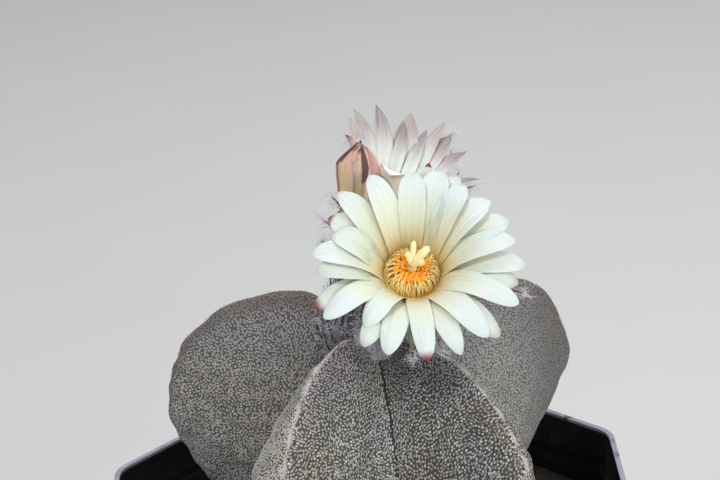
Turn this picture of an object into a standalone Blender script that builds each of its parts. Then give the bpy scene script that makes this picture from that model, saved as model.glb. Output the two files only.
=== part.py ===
"""A potted bishop's cap cactus in flower: two open flowers and a bud on a five-ribbed star.

Metres, +Z up. The origin is the middle of the pot's underside, on the surface that it stands on.
The octagonal pot has its flats square to X and Y. The plant's front, where the lower flower
faces, is towards -Y.
"""
import math
import random

import bmesh
import bpy
from mathutils import Matrix, Vector

MM = 0.001
GAP = 0.3 * MM
WELD = 0.001 * MM

# Pot
POT_HEIGHT = 95 * MM
RIM_FLATS = 120 * MM
BASE_FLATS = 94 * MM
WALL = 1.6 * MM
RIM_WALL = 1.2 * MM
COLLAR_HEIGHT = 15 * MM
LEDGE_DEPTH = 10.5 * MM
WALL_TOP_FLATS = 116.8 * MM
FLOOR_BOTTOM = 2.0 * MM
FLOOR_TOP = 4.5 * MM
FOOT_WIDTH = 3.0 * MM
POT_CORNER = 2.5 * MM
DRAIN_RADIUS = 4.5 * MM
DRAIN_CIRCLE = 26 * MM

# Soil
SOIL_TOP = POT_HEIGHT - 14.5 * MM
PEBBLE_COUNT = 34
PEBBLE_RADII = (2.0 * MM, 3.6 * MM)
PEBBLE_SINK = 0.35
PEBBLE_FLATNESS = 0.8
PEBBLE_CLEAR = 25.5 * MM
PEBBLE_REACH = 51 * MM

# Cactus body, heights over the floor and distances from its own upright axis
BODY_X = 5 * MM
APEX_Z = POT_HEIGHT + 40 * MM
NECK_RADIUS = 16.5 * MM
NECK_Z = SOIL_TOP + 0.6 * MM
ROOT_PROFILE = ((15.0 * MM, 4 * MM), (11.0 * MM, 10 * MM), (7.0 * MM, 18 * MM), (3.5 * MM, 28 * MM))
GROOVE_REACH = 26.5 * MM
GROOVE_Z = POT_HEIGHT + 13 * MM
# Handles of the curves that a crest follows from the apex over its top and its widest place to the neck:
# shares of the top's distance, of the drop and run to the widest place, and of the run to the neck
APEX_HANDLE = 0.43
APEX_DIP = 1.5 * MM
TOP_HANDLE = 0.45
CREST_BOW = 0.56
NECK_FLARE = 0.45
NECK_RISE = 5.5 * MM
# Handles of the groove's curves, as distance and height
GROOVE_APEX_HANDLE = (13 * MM, -1.5 * MM)
GROOVE_TOP_HANDLE = (0.0, 15 * MM)
GROOVE_BELLY_HANDLE = (0.0, -12 * MM)
GROOVE_NECK_HANDLE = (2.5 * MM, 6 * MM)
ROWS = (6, 11, 12)
COLUMNS = 6
CREST_ROUNDNESS = 0.5
FLANK_FALL = 1.7
FIRST_AREOLE_ROW = 5
AREOLE_NOTCH = 0.55 * MM
FLECK_RELIEF = 0.45 * MM
WOOL_TUFTS = 9
WOOL_RADIUS = 8 * MM
WOOL_RISE = 0.5 * MM
TUFT_RADII = (3.2 * MM, 4.0 * MM)
GOLDEN_TURN = math.radians(137.5)
# Each rib: bearing, how far out its crest's top is and how high, its reach and the height of that,
# both heights over the rim, how far down it keeps that reach, as a share, and how far its left flank
# bulges low down
RIBS = (
    (168.0, 17.0 * MM, 52.5 * MM, 50.0 * MM, 23.8 * MM, 0.38, 0.0),
    (93.0, 20.0 * MM, 50.0 * MM, 48.5 * MM, 23.0 * MM, 0.36, 1.5 * MM),
    (20.0, 31.0 * MM, 48.7 * MM, 47.0 * MM, 28.0 * MM, 0.04, 0.0),
    (-51.0, 17.2 * MM, 44.5 * MM, 50.5 * MM, 11.5 * MM, 0.42, 0.0),
    (-119.0, 17.5 * MM, 47.2 * MM, 47.3 * MM, 14.5 * MM, 0.42, 5.2 * MM),
)
# Where on a crest's middle leg the bulge begins and where it is full
BULGE_SPAN = (0.12, 0.82)

# Flowers: where the tube leaves the crown, the middle of the throat, and where the flower faces
FLOWER_1 = {
    "name": "flower_1",
    "base": Vector((13.5, -4.5, POT_HEIGHT / MM + 39.5)) * MM,
    "throat": Vector((14.0, -17.0, POT_HEIGHT / MM + 66.5)) * MM,
    "axis": Vector((0.02, -0.62, 0.79)).normalized(),
}
FLOWER_2 = {
    "name": "flower_2",
    "base": Vector((7.0, 10.0, POT_HEIGHT / MM + 40.5)) * MM,
    "throat": Vector((12.5, 15.0, POT_HEIGHT / MM + 70.0)) * MM,
    "axis": Vector((0.42, 0.12, 0.90)).normalized(),
}
# Petals: bearing round the axis from the right, reach, height of the tip over the throat, layer
PETALS_1 = (
    (2, 22.1, 4.2, 0), (17, 21.4, 5.0, 2), (30, 20.0, 6.0, 0), (46, 18.2, 7.0, 1), (64, 18.2, 7.6, 0),
    (83, 17.0, 8.0, 1), (98, 18.6, 8.0, 2), (115, 18.8, 7.6, 0), (138, 20.7, 6.7, 1), (152, 19.6, 5.6, 2),
    (165, 17.6, 5.0, 1), (177, 21.1, 4.2, 0), (191, 20.4, 3.4, 1), (205, 24.0, 2.0, 2), (214, 23.6, 1.8, 0),
    (236, 19.0, 0.6, 0), (239, 23.0, 0.4, 2), (254, 23.0, 0.2, 1), (273, 24.0, 0.0, 0), (291, 24.6, 0.2, 1),
    (306, 24.4, 0.8, 0), (312, 26.0, 0.8, 2), (328, 25.0, 1.9, 0), (340, 22.8, 2.6, 2), (348, 23.2, 3.2, 1),
)
PETALS_2 = (
    (15, 17.6, 8.0, 0), (32, 15.5, 8.6, 1), (49, 20.3, 11.0, 0), (64, 20.9, 12.4, 1), (78, 19.6, 14.8, 0),
    (95, 20.2, 14.9, 1), (120, 19.6, 13.6, 0), (138, 19.4, 12.4, 1), (158, 17.0, 11.0, 0),
    (184, 15.0, 9.2, 1), (210, 14.0, 8.0, 0), (238, 13.0, 5.5, 1), (266, 13.5, 3.2, 0),
    (296, 14.0, 3.4, 1), (320, 14.5, 4.6, 0), (342, 13.4, 6.2, 1),
)
PETAL_HALF_WIDTHS = {"flower_1": 3.05 * MM, "flower_2": 2.8 * MM}
PETAL_THICKNESS = 0.8 * MM
PETAL_CHANNEL = 0.16
PETAL_STEPS = 3
EDGE_THINNING = 0.6
LAYER_DROP = 1.1 * MM
# The middle line of a petal: how far its root is sunk in the cup, where it leaves the cup, and its bend
PETAL_ROOT = (-0.5 * MM, -1.6 * MM)
PETAL_RISE = (1.4 * MM, 3.8 * MM)
PETAL_RISE_WITH_TIP = 0.25
PETAL_BEND = (0.66, 2.6 * MM)
PETAL_TIP_DROP = 0.6
# The outline of a petal: share of its length, share of its greatest half width
PETAL_OUTLINE = ((0.0, 0.46), (0.32, 0.74), (0.62, 1.0), (0.86, 0.72), (1.0, 0.16))
CUP_RADIUS = 7.0 * MM
CUP_BORE = 6.0 * MM
CUP_TOP = -4.5 * MM
CUP_FLOOR = -8.6 * MM
CUP_SHOULDER = -10.0 * MM
CUP_BOTTOM = -14.5 * MM
CUP_TIP = 3.4 * MM
FLOWER_SIDES = 16

# Flower tubes with their scales and outer sepals
TUBE_STEPS = 6
TUBE_RADII = (4.0 * MM, 4.2 * MM, 4.8 * MM, 5.8 * MM, 7.0 * MM, 8.2 * MM, 8.4 * MM)
TUBE_END = -10.8 * MM
TUBE_HANDLE = 8 * MM
SCALE_ROWS = 3
SCALES_PER_ROW = 6
SCALE_INSET = 1.6
SCALE_STRAY = 0.12
SCALE_LENGTH = 5.0 * MM
SCALE_WIDTH = 2.2 * MM
SCALE_LEAN = 2.2 * MM
SEPAL_HALF_WIDTH = 1.9 * MM
SEPAL_CHANNEL = 0.1
SEPAL_STEPS = 3
SEPAL_WIDTHS = (0.8, 1.0, 0.8, 0.16)
# The middle line of a sepal: its root in the tube's rim, where it leaves the rim, and its bend
# under the petals
SEPAL_ROOT = (6.6 * MM, TUBE_END - 0.8 * MM)
SEPAL_RISE = (10.0 * MM, TUBE_END + 1.2 * MM)
SEPAL_BEND = (0.7, -3.6 * MM)
SEPAL_TIP_DROP = 2.4 * MM
SEPALS_1 = ((10, 19, 2.0), (52, 17, 4.6), (76, 17, 5.2), (132, 17, 4.0), (158, 18, 2.6), (200, 20, -0.6),
            (230, 19, -2.2), (262, 21, -3.0), (283, 21, -3.0), (334, 22, -1.0))
SEPALS_2 = ((14, 17, 5.5), (68, 19, 11.0), (116, 14, 8.5), (172, 16, 8.5), (224, 13, 4.0), (262, 13, 0.5),
            (308, 14, 1.2))

# Stamens and pistil
STAMEN_COUNT = 16
STAMEN_RING = 5.2 * MM
STAMEN_BASE = CUP_FLOOR + 0.5 * MM
STAMEN_TOP = -3.6 * MM
# The ring that the filaments grow from: its edges from STAMEN_RING, and its faces from STAMEN_BASE
RING_EDGES = (-2.2 * MM, 0.4 * MM)
RING_FACES = (-0.2 * MM, 1.5 * MM)
ANTHER_DISTANCES = (2.9 * MM, 3.7 * MM)
ANTHER_HEIGHTS = (STAMEN_TOP - 0.8 * MM, STAMEN_TOP + 0.4 * MM)
FILAMENT_STEPS = 2
FILAMENT_RADIUS = 0.45 * MM
ANTHER_RADIUS = 0.85 * MM
STYLE_FOOT_RADIUS = 1.2 * MM
STYLE_RADIUS = 0.9 * MM
STYLE_TOP = -2.0 * MM
LOBE_COUNT = 5
LOBE_BEARING = 20
LOBE_LENGTH = 5.2 * MM
LOBE_SPREAD = 3.5 * MM
LOBE_RADII = (0.7 * MM, 1.05 * MM, 0.7 * MM)

# Bud: the middle line of its tube, then the closed petals
BUD_LINE = tuple(Vector((x, y, POT_HEIGHT / MM + z)) * MM for x, y, z in
                 ((-3.0, -1.5, 38.5), (-6.3, -2.0, 49.0), (3.5, -0.8, 57.0), (1.8, -0.4, 72.0)))
BUD_TUBE_RADII = (3.8 * MM, 3.8 * MM, 3.7 * MM, 3.6 * MM, 3.5 * MM, 3.5 * MM, 3.6 * MM)
BUD_TIP = Vector((5.1, 0.4, POT_HEIGHT / MM + 88.0)) * MM
BUD_RADIUS = 3.6 * MM
BUD_SEAT = 2.4 * MM
BUD_TEPALS = 6
BUD_FOLD = 0.13
BUD_TWIST = 0.8
# The closed petals' outline: share of their length, share of their greatest radius
BUD_OUTLINE = ((0.12, 0.8), (0.3, 0.94), (0.5, 1.0), (0.7, 0.86), (0.88, 0.5), (0.97, 0.2))

SEED = 7


def clear_scene():
    for obj in list(bpy.data.objects):
        bpy.data.objects.remove(obj, do_unlink=True)


def new_collection(name):
    collection = bpy.data.collections.new(name)
    bpy.context.scene.collection.children.link(collection)
    return collection


def material(name, colour, roughness):
    mat = bpy.data.materials.new(name)
    mat.use_nodes = True
    shader = mat.node_tree.nodes["Principled BSDF"]
    shader.inputs["Base Color"].default_value = (*colour, 1.0)
    shader.inputs["Roughness"].default_value = roughness
    shader.inputs["Metallic"].default_value = 0.0
    mat.diffuse_color = (*colour, 1.0)
    return mat


def mesh_object(name, bm, collection):
    """An object from a bmesh, which is freed, with its faces turned outwards."""
    bmesh.ops.recalc_face_normals(bm, faces=bm.faces)
    mesh = bpy.data.meshes.new(name)
    bm.to_mesh(mesh)
    bm.free()
    obj = bpy.data.objects.new(name, mesh)
    collection.objects.link(obj)
    return obj


def face_outwards(mesh):
    bm = bmesh.new()
    bm.from_mesh(mesh)
    bmesh.ops.recalc_face_normals(bm, faces=bm.faces)
    bm.to_mesh(mesh)
    bm.free()


def bake(obj):
    """Replaces an object's mesh by what its modifiers make, with its corners welded."""
    depsgraph = bpy.context.evaluated_depsgraph_get()
    mesh = bpy.data.meshes.new_from_object(obj.evaluated_get(depsgraph))
    obj.modifiers.clear()
    obj.data = mesh
    bm = bmesh.new()
    bm.from_mesh(mesh)
    bmesh.ops.remove_doubles(bm, verts=bm.verts, dist=WELD)
    bmesh.ops.dissolve_degenerate(bm, edges=bm.edges, dist=WELD / 2)
    bmesh.ops.triangulate(bm, faces=bm.faces)
    bm.to_mesh(mesh)
    bm.free()
    return obj


def join_repeats(obj, repeats, solver="EXACT"):
    """Fuses every object of a collection to obj with one union, and removes the collection."""
    union = obj.modifiers.new("fuse repeats", "BOOLEAN")
    union.operation = "UNION"
    union.operand_type = "COLLECTION"
    union.collection = repeats
    union.solver = solver
    bake(obj)
    for piece in list(repeats.objects):
        bpy.data.objects.remove(piece, do_unlink=True)
    bpy.data.collections.remove(repeats)
    return obj


def cut(obj, cutter, solver="EXACT"):
    """Cuts one solid out of another and bakes the result."""
    difference = obj.modifiers.new("cut " + cutter.name, "BOOLEAN")
    difference.operation = "DIFFERENCE"
    difference.object = cutter
    difference.solver = solver
    bake(obj)


def as_cutter(obj):
    obj.hide_render = True
    obj.display_type = "WIRE"
    return obj


def bezier(points, t):
    """A point of a cubic curve with four control points."""
    a, b, c, d = points
    s = 1.0 - t
    return a * s ** 3 + b * (3 * s * s * t) + c * (3 * s * t * t) + d * t ** 3


def between(table, x):
    """Reads a table of (x, y) pairs along straight lines."""
    for (x0, y0), (x1, y1) in zip(table, table[1:]):
        if x <= x1:
            return y0 + (y1 - y0) * (x - x0) / (x1 - x0)
    return table[-1][1]


def octagon_frustum(name, levels, flats, collection):
    """An octagonal block between two levels, with its upright corners rounded."""
    bm = bmesh.new()
    across_corners = 1.0 / math.cos(math.pi / 8)
    bmesh.ops.create_cone(bm, cap_ends=True, segments=8, radius1=flats[0] / 2 * across_corners,
                          radius2=flats[1] / 2 * across_corners, depth=levels[1] - levels[0])
    bmesh.ops.rotate(bm, verts=bm.verts, cent=(0, 0, 0), matrix=Matrix.Rotation(math.pi / 8, 3, "Z"))
    bmesh.ops.translate(bm, verts=bm.verts, vec=(0, 0, (levels[0] + levels[1]) / 2))
    upright = [edge for edge in bm.edges if abs(edge.verts[0].co.z - edge.verts[1].co.z) > GAP]
    bmesh.ops.bevel(bm, geom=upright, offset=POT_CORNER, segments=2, profile=0.5, affect="EDGES")
    return mesh_object(name, bm, collection)


def inner_flats(z):
    """The pot's inner width across its flats, below the collar's ledge."""
    slope = (WALL_TOP_FLATS - BASE_FLATS) / (POT_HEIGHT - LEDGE_DEPTH)
    return BASE_FLATS + slope * z - 2 * WALL


def make_pot(parts, cutters):
    ledge = POT_HEIGHT - LEDGE_DEPTH
    pot = octagon_frustum("pot", (0.0, ledge), (BASE_FLATS, WALL_TOP_FLATS), parts)
    rim = new_collection("rim")
    octagon_frustum("collar", (POT_HEIGHT - COLLAR_HEIGHT, POT_HEIGHT),
                    (RIM_FLATS - 0.8 * MM, RIM_FLATS), rim)
    join_repeats(pot, rim)
    above = 5 * MM
    hollow = octagon_frustum("pot_hollow", (FLOOR_TOP, ledge + above),
                             (inner_flats(FLOOR_TOP), inner_flats(ledge + above)), cutters)
    mouth_flats = RIM_FLATS - 2 * RIM_WALL
    mouth = octagon_frustum("pot_mouth", (ledge, POT_HEIGHT + above),
                            (mouth_flats - 0.4 * MM, mouth_flats + 0.2 * MM), cutters)
    foot_flats = BASE_FLATS - 2 * FOOT_WIDTH
    foot = octagon_frustum("pot_foot_recess", (-above, FLOOR_BOTTOM), (foot_flats, foot_flats), cutters)
    for cutter in (hollow, mouth, foot, *drain_cutters(cutters)):
        cut(pot, as_cutter(cutter))
    pot.data.materials.append(material("black plastic", (0.012, 0.012, 0.014), 0.22))
    return pot


def drain_cutters(cutters):
    """One hole in the middle of the pot's floor and four round it."""
    places = [(0.0, 0.0)]
    for quarter in range(4):
        turn = math.radians(45 + 90 * quarter)
        places.append((DRAIN_CIRCLE * math.cos(turn), DRAIN_CIRCLE * math.sin(turn)))
    made = []
    for index, (x, y) in enumerate(places):
        bm = bmesh.new()
        bmesh.ops.create_cone(bm, cap_ends=True, segments=12, radius1=DRAIN_RADIUS, radius2=DRAIN_RADIUS,
                              depth=4 * FLOOR_TOP)
        bmesh.ops.translate(bm, verts=bm.verts, vec=(x, y, 0))
        made.append(mesh_object("drain_%d" % index, bm, cutters))
    return made


def make_soil(parts, cutters):
    bottom = FLOOR_TOP + GAP
    soil = octagon_frustum("soil", (bottom, SOIL_TOP),
                           (inner_flats(bottom) - 2 * GAP, inner_flats(SOIL_TOP) - 2 * GAP), parts)
    pebbles = new_collection("pebbles")
    draw = random.Random(SEED)
    placed = []
    while len(placed) < PEBBLE_COUNT:
        distance = math.sqrt(draw.uniform(PEBBLE_CLEAR ** 2, PEBBLE_REACH ** 2))
        turn = draw.uniform(0, 2 * math.pi)
        size = draw.uniform(*PEBBLE_RADII)
        place = Vector((BODY_X * (1 - distance / PEBBLE_REACH) + distance * math.cos(turn),
                        distance * math.sin(turn), SOIL_TOP - PEBBLE_SINK * size))
        if any((place - other).length < 1.1 * (size + reach) for other, reach in placed):
            continue
        placed.append((place, size))
        bm = bmesh.new()
        bmesh.ops.create_icosphere(bm, subdivisions=1, radius=size)
        squash = Matrix.Diagonal((1.0, draw.uniform(0.75, 1.0), PEBBLE_FLATNESS))
        spin = Matrix.Rotation(draw.uniform(0, math.pi), 3, "Z")
        for vert in bm.verts:
            vert.co = spin @ squash @ vert.co + place
        mesh_object("pebble_%d" % len(placed), bm, pebbles)
    join_repeats(soil, pebbles)
    cut(soil, root_hole(cutters))
    soil.data.materials.append(material("dark gritty soil", (0.016, 0.013, 0.011), 0.95))
    return soil


def root_hole(cutters):
    """The plain hole in the soil for the neck and the taproot, a little wider than they are."""
    clear = 1.5 * GAP
    above = NECK_Z + 6 * MM
    corners = [(0, above), (NECK_RADIUS + clear, above), (NECK_RADIUS + clear, NECK_Z)]
    corners += [(radius + clear, NECK_Z - depth) for radius, depth in ROOT_PROFILE]
    corners[-1] = (corners[-1][0], corners[-1][1] - clear)
    corners.append((0, corners[-1][1]))
    return as_cutter(turned("root_hole", corners, Vector((BODY_X, 0, 0)), Vector((0, 0, 1)), cutters, 48))


def crest_point(rib, leg, t):
    """A crest's distance from the axis and its height, on one of its three legs."""
    _, top_out, top_up, reach, reach_up, belly, _ = rib
    top = Vector((top_out, POT_HEIGHT + top_up))
    widest = Vector((reach, POT_HEIGHT + reach_up))
    if leg == 0:
        return bezier((Vector((0, APEX_Z)), Vector((APEX_HANDLE * top_out, APEX_Z - APEX_DIP)),
                       Vector((TOP_HANDLE * top_out, top.y)), top), t)
    if leg == 1:
        return bezier((top, top + Vector((CREST_BOW * (reach - top_out), 0)),
                       widest + Vector((0, CREST_BOW * (top.y - widest.y))), widest), t)
    neck = Vector((NECK_RADIUS, NECK_Z))
    return bezier((widest, widest - Vector((0, belly * (widest.y - neck.y))),
                   neck + Vector((NECK_FLARE * (reach - NECK_RADIUS), NECK_RISE)), neck), t)


def flank_bulge(rib, leg, t):
    """How far a rib's left flank bulges at its middle, on each leg of the crest."""
    start, full = BULGE_SPAN
    if leg == 2:
        return rib[6] * (1 - t)
    share = min(1.0, max(0.0, (t - start) / (full - start))) if leg == 1 else 0.0
    return rib[6] * share * share * (3 - 2 * share)


def groove_point(leg, t):
    """The groove's distance from the axis and its height, level with a crest's legs."""
    apex = Vector((0, APEX_Z))
    widest = Vector((GROOVE_REACH, GROOVE_Z))
    if leg < 2:
        return bezier((apex, apex + Vector(GROOVE_APEX_HANDLE), widest + Vector(GROOVE_TOP_HANDLE), widest),
                      (leg + t) / 2)
    neck = Vector((NECK_RADIUS, NECK_Z))
    return bezier((widest, widest + Vector(GROOVE_BELLY_HANDLE),
                   neck + Vector(GROOVE_NECK_HANDLE), neck), t)


def body_rows():
    """The steps from the crown to the neck, as pairs of a leg and how far along it."""
    rows = [(leg, step / count) for leg, count in enumerate(ROWS) for step in range(count)]
    return rows[1:] + [(2, 1.0)]


def body_ring(row, leg, t):
    """One ring of the star, rib by rib, each from its left groove to the next rib's."""
    ring = []
    fade = min(1.0, t + leg) ** 2 if leg < 2 else 1.0 - t ** 4
    for index, rib in enumerate(RIBS):
        bearing = rib[0]
        spread_left = ((RIBS[index - 1][0] - bearing) % 360) / 2
        spread_right = ((bearing - RIBS[(index + 1) % len(RIBS)][0]) % 360) / 2
        crest = crest_point(rib, leg, t)
        groove = groove_point(leg, t)
        for column in range(-COLUMNS, COLUMNS):
            u = abs(column) / COLUMNS
            half = math.radians(spread_left if column < 0 else spread_right)
            across_groove = groove.x * math.sin(half)
            along_groove = groove.x * math.cos(half)
            side = -1 if column < 0 else 1
            areole = column == 0 and row % 2 == 0 and row >= FIRST_AREOLE_ROW
            raised = column not in (0, -COLUMNS) and (row + column) % 2 == 0
            notch = AREOLE_NOTCH * fade if areole else 0.0
            fleck = FLECK_RELIEF * fade if raised else 0.0
            out = crest.x - (crest.x - along_groove) * u ** 2 - notch
            across = across_groove * (CREST_ROUNDNESS * u + (1 - CREST_ROUNDNESS) * u * u) + fleck
            if column > 0:
                across += flank_bulge(rib, leg, t) * math.sin(math.pi * u)
            height = crest.y + (groove.y - crest.y) * u ** FLANK_FALL
            turn = math.radians(bearing)
            radial = Vector((math.cos(turn), math.sin(turn), 0))
            sideways = Vector((math.sin(turn), -math.cos(turn), 0)) * side
            ring.append(Vector((BODY_X, 0, height)) + radial * out + sideways * across)
    return ring


def make_body(parts, cutters):
    """The star-shaped body, its neck and the taproot, with sockets where the flower tubes stand."""
    rings = [body_ring(row, leg, t) for row, (leg, t) in enumerate(body_rows())]
    neck_ring = rings[-1]
    for radius, depth in ROOT_PROFILE:
        shrink = radius / NECK_RADIUS
        rings.append([Vector((BODY_X + (point.x - BODY_X) * shrink, point.y * shrink, NECK_Z - depth))
                      for point in neck_ring])
    bm = bmesh.new()
    crown = bm.verts.new((BODY_X, 0, APEX_Z))
    rows = [[bm.verts.new(point) for point in ring] for ring in rings]
    count = len(rows[0])
    for side in range(count):
        after = (side + 1) % count
        bm.faces.new((crown, rows[0][side], rows[0][after]))
        for row, (upper, lower) in enumerate(zip(rows, rows[1:])):
            if (row + side) % 2:
                bm.faces.new((upper[side], lower[side], lower[after]))
                bm.faces.new((upper[side], lower[after], upper[after]))
            else:
                bm.faces.new((upper[side], lower[side], upper[after]))
                bm.faces.new((lower[side], lower[after], upper[after]))
    bm.faces.new(rows[-1])
    body = mesh_object("cactus_body", bm, parts)
    add_crown_wool(body)
    for base in ("flower_1", "flower_2", "bud"):
        cut(body, bpy.data.objects[base + "_socket"], "MANIFOLD")
    body.data.materials.append(material("flecked grey-green skin", (0.30, 0.29, 0.25), 0.9))
    return body


def add_crown_wool(body):
    """Tufts of felt that fill the sunken crown between the ribs."""
    wool = new_collection("wool")
    draw = random.Random(SEED)
    for index in range(WOOL_TUFTS):
        distance = WOOL_RADIUS * math.sqrt((index + 0.5) / WOOL_TUFTS)
        turn = index * GOLDEN_TURN
        place = Vector((BODY_X + distance * math.cos(turn), distance * math.sin(turn), APEX_Z + WOOL_RISE))
        bm = bmesh.new()
        bmesh.ops.create_icosphere(bm, subdivisions=1, radius=draw.uniform(*TUFT_RADII))
        bmesh.ops.translate(bm, verts=bm.verts, vec=place)
        mesh_object("tuft_%d" % index, bm, wool)
    join_repeats(body, wool, "MANIFOLD")


def flower_frame(flower):
    """The flower's own right, far and outward directions."""
    axis = flower["axis"]
    right = Vector((1, 0, 0))
    right = (right - axis * right.dot(axis)).normalized()
    return right, axis.cross(right), axis


def flower_point(flower, bearing, distance, height):
    right, far, axis = flower_frame(flower)
    turn = math.radians(bearing)
    return flower["throat"] + (right * math.cos(turn) + far * math.sin(turn)) * distance + axis * height


def blade(name, path, half_widths, across, thickness, channel, collection):
    """A channelled blade along a path, as one closed solid split alike on both faces."""
    bm = bmesh.new()
    rows = []
    for index, point in enumerate(path):
        ahead = path[min(index + 1, len(path) - 1)] - path[max(index - 1, 0)]
        up = across.cross(ahead).normalized()
        half = half_widths[index]
        lift = up * channel * half
        under = up * -thickness
        left = point - across * half + lift
        right = point + across * half + lift
        rows.append([bm.verts.new(corner) for corner in
                     (left, point, right, right + under * EDGE_THINNING, point + under,
                      left + under * EDGE_THINNING)])
    for lower, upper in zip(rows, rows[1:]):
        for k in range(6):
            n = (k + 1) % 6
            if k in (3, 4):
                bm.faces.new((lower[k], lower[n], upper[k]))
                bm.faces.new((lower[n], upper[n], upper[k]))
            else:
                bm.faces.new((lower[k], lower[n], upper[n]))
                bm.faces.new((lower[k], upper[n], upper[k]))
    for row in (rows[0], rows[-1]):
        bm.faces.new((row[0], row[1], row[4], row[5]))
        bm.faces.new((row[1], row[2], row[3], row[4]))
    return mesh_object(name, bm, collection)


def needle(name, path, radii, collection):
    """A three-sided needle along a path, as one closed solid."""
    bm = bmesh.new()
    rows = []
    for index, point in enumerate(path):
        ahead = (path[min(index + 1, len(path) - 1)] - path[max(index - 1, 0)]).normalized()
        if index == 0:
            right = ahead.orthogonal().normalized()
        else:
            right = (right - ahead * right.dot(ahead)).normalized()
        far = ahead.cross(right)
        rows.append([bm.verts.new(point + (right * math.cos(turn) + far * math.sin(turn)) * radii[index])
                     for turn in (0, 2 * math.pi / 3, 4 * math.pi / 3)])
    for lower, upper in zip(rows, rows[1:]):
        for k in range(3):
            n = (k + 1) % 3
            bm.faces.new((lower[k], lower[n], upper[n]))
            bm.faces.new((lower[k], upper[n], upper[k]))
    bm.faces.new(rows[0])
    bm.faces.new(rows[-1])
    return mesh_object(name, bm, collection)


def curve_path(flower, bearing, curve, steps):
    """Points along a curve that is given as distances from a flower's axis and heights over its throat."""
    points = []
    for step in range(steps + 1):
        distance, height = bezier(curve, step / steps)
        points.append(flower_point(flower, bearing, distance, height))
    return points


def petal_path(flower, bearing, reach, tip, layer, steps):
    """The middle line of a petal, from the wall of the cup out to its tip."""
    drop = -LAYER_DROP * layer
    corners = [(CUP_RADIUS + PETAL_ROOT[0], CUP_TOP + PETAL_ROOT[1] + drop),
               (CUP_RADIUS + PETAL_RISE[0], CUP_TOP + PETAL_RISE[1] + PETAL_RISE_WITH_TIP * tip + drop),
               (PETAL_BEND[0] * reach, tip + PETAL_BEND[1] + drop),
               (reach, tip + PETAL_TIP_DROP * drop)]
    return curve_path(flower, bearing, [Vector(corner) for corner in corners], steps)


def across_direction(flower, bearing):
    right, far, _ = flower_frame(flower)
    turn = math.radians(bearing)
    return far * math.cos(turn) - right * math.sin(turn)


def turned(name, corners, place, axis, collection, sides):
    """A turned solid whose profile runs down its outer side, stood on an axis."""
    bm = bmesh.new()
    verts = [bm.verts.new((distance, 0, height)) for distance, height in corners]
    for first, second in zip(verts, verts[1:]):
        bm.edges.new((first, second))
    obj = mesh_object(name, bm, collection)
    obj.matrix_world = Matrix.Translation(place) @ axis.to_track_quat("Z", "Y").to_matrix().to_4x4()
    screw = obj.modifiers.new("turn", "SCREW")
    screw.steps = sides
    screw.render_steps = sides
    screw.use_merge_vertices = True
    screw.merge_threshold = WELD
    bpy.context.view_layer.update()
    bake(obj)
    obj.data.transform(obj.matrix_world)
    obj.matrix_world = Matrix.Identity(4)
    face_outwards(obj.data)
    return obj


def make_petals(flower, petals, parts):
    """The cup and the petals that grow from its wall, in their layers."""
    name = flower["name"]
    cup = turned(name + "_petals",
                 ((CUP_BORE, CUP_TOP), (CUP_RADIUS, CUP_TOP), (CUP_RADIUS, CUP_SHOULDER),
                  (CUP_TIP, CUP_BOTTOM), (0, CUP_BOTTOM)),
                 flower["throat"], flower["axis"], parts, FLOWER_SIDES)
    fill_bore(cup)
    repeats = new_collection(name + " petals")
    for index, (bearing, reach, tip, layer) in enumerate(petals):
        path = petal_path(flower, bearing, reach * MM, tip * MM, layer, PETAL_STEPS)
        widths = [PETAL_HALF_WIDTHS[name] * between(PETAL_OUTLINE, step / PETAL_STEPS)
                  for step in range(PETAL_STEPS + 1)]
        blade("petal_%d" % index, path, widths, across_direction(flower, bearing), PETAL_THICKNESS,
              PETAL_CHANNEL, repeats)
    join_repeats(cup, repeats, "MANIFOLD")
    cut_bore(cup, flower)
    cup.data.materials.append(material(name + " cream petals", (0.86, 0.83, 0.66), 0.5))
    return cup


def fill_bore(cup):
    """Closes the turned cup's top, so that its bore is cut after the petals are on."""
    bm = bmesh.new()
    bm.from_mesh(cup.data)
    rims = [edge for edge in bm.edges if edge.is_boundary]
    bmesh.ops.contextual_create(bm, geom=rims)
    bmesh.ops.recalc_face_normals(bm, faces=bm.faces)
    bm.to_mesh(cup.data)
    bm.free()


def cut_bore(cup, flower):
    above = CUP_TOP + 4 * MM
    bore = turned("bore", ((0, above), (CUP_BORE, above), (CUP_BORE, CUP_FLOOR), (0, CUP_FLOOR)),
                  flower["throat"], flower["axis"], bpy.data.collections["cutters"], FLOWER_SIDES)
    cut(cup, as_cutter(bore))
    bpy.data.objects.remove(bore, do_unlink=True)


def tube_solid(name, points, radii, collection, roundness=4):
    """A round tube along points, its thickness changing from one to the next, as a welded mesh."""
    curve = bpy.data.curves.new(name, "CURVE")
    curve.dimensions = "3D"
    curve.bevel_depth = 1.0
    curve.bevel_resolution = roundness
    curve.use_fill_caps = True
    spline = curve.splines.new("POLY")
    spline.points.add(len(points) - 1)
    for item, point, radius in zip(spline.points, points, radii):
        item.co = (*point, 1.0)
        item.radius = radius
    guide = bpy.data.objects.new(name + "_guide", curve)
    collection.objects.link(guide)
    bpy.context.view_layer.update()
    mesh = bpy.data.meshes.new_from_object(guide.evaluated_get(bpy.context.evaluated_depsgraph_get()))
    obj = bpy.data.objects.new(name, mesh)
    collection.objects.link(obj)
    bpy.data.objects.remove(guide, do_unlink=True)
    bm = bmesh.new()
    bm.from_mesh(mesh)
    bmesh.ops.remove_doubles(bm, verts=bm.verts, dist=WELD)
    bmesh.ops.recalc_face_normals(bm, faces=bm.faces)
    bm.to_mesh(mesh)
    bm.free()
    return obj


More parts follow.
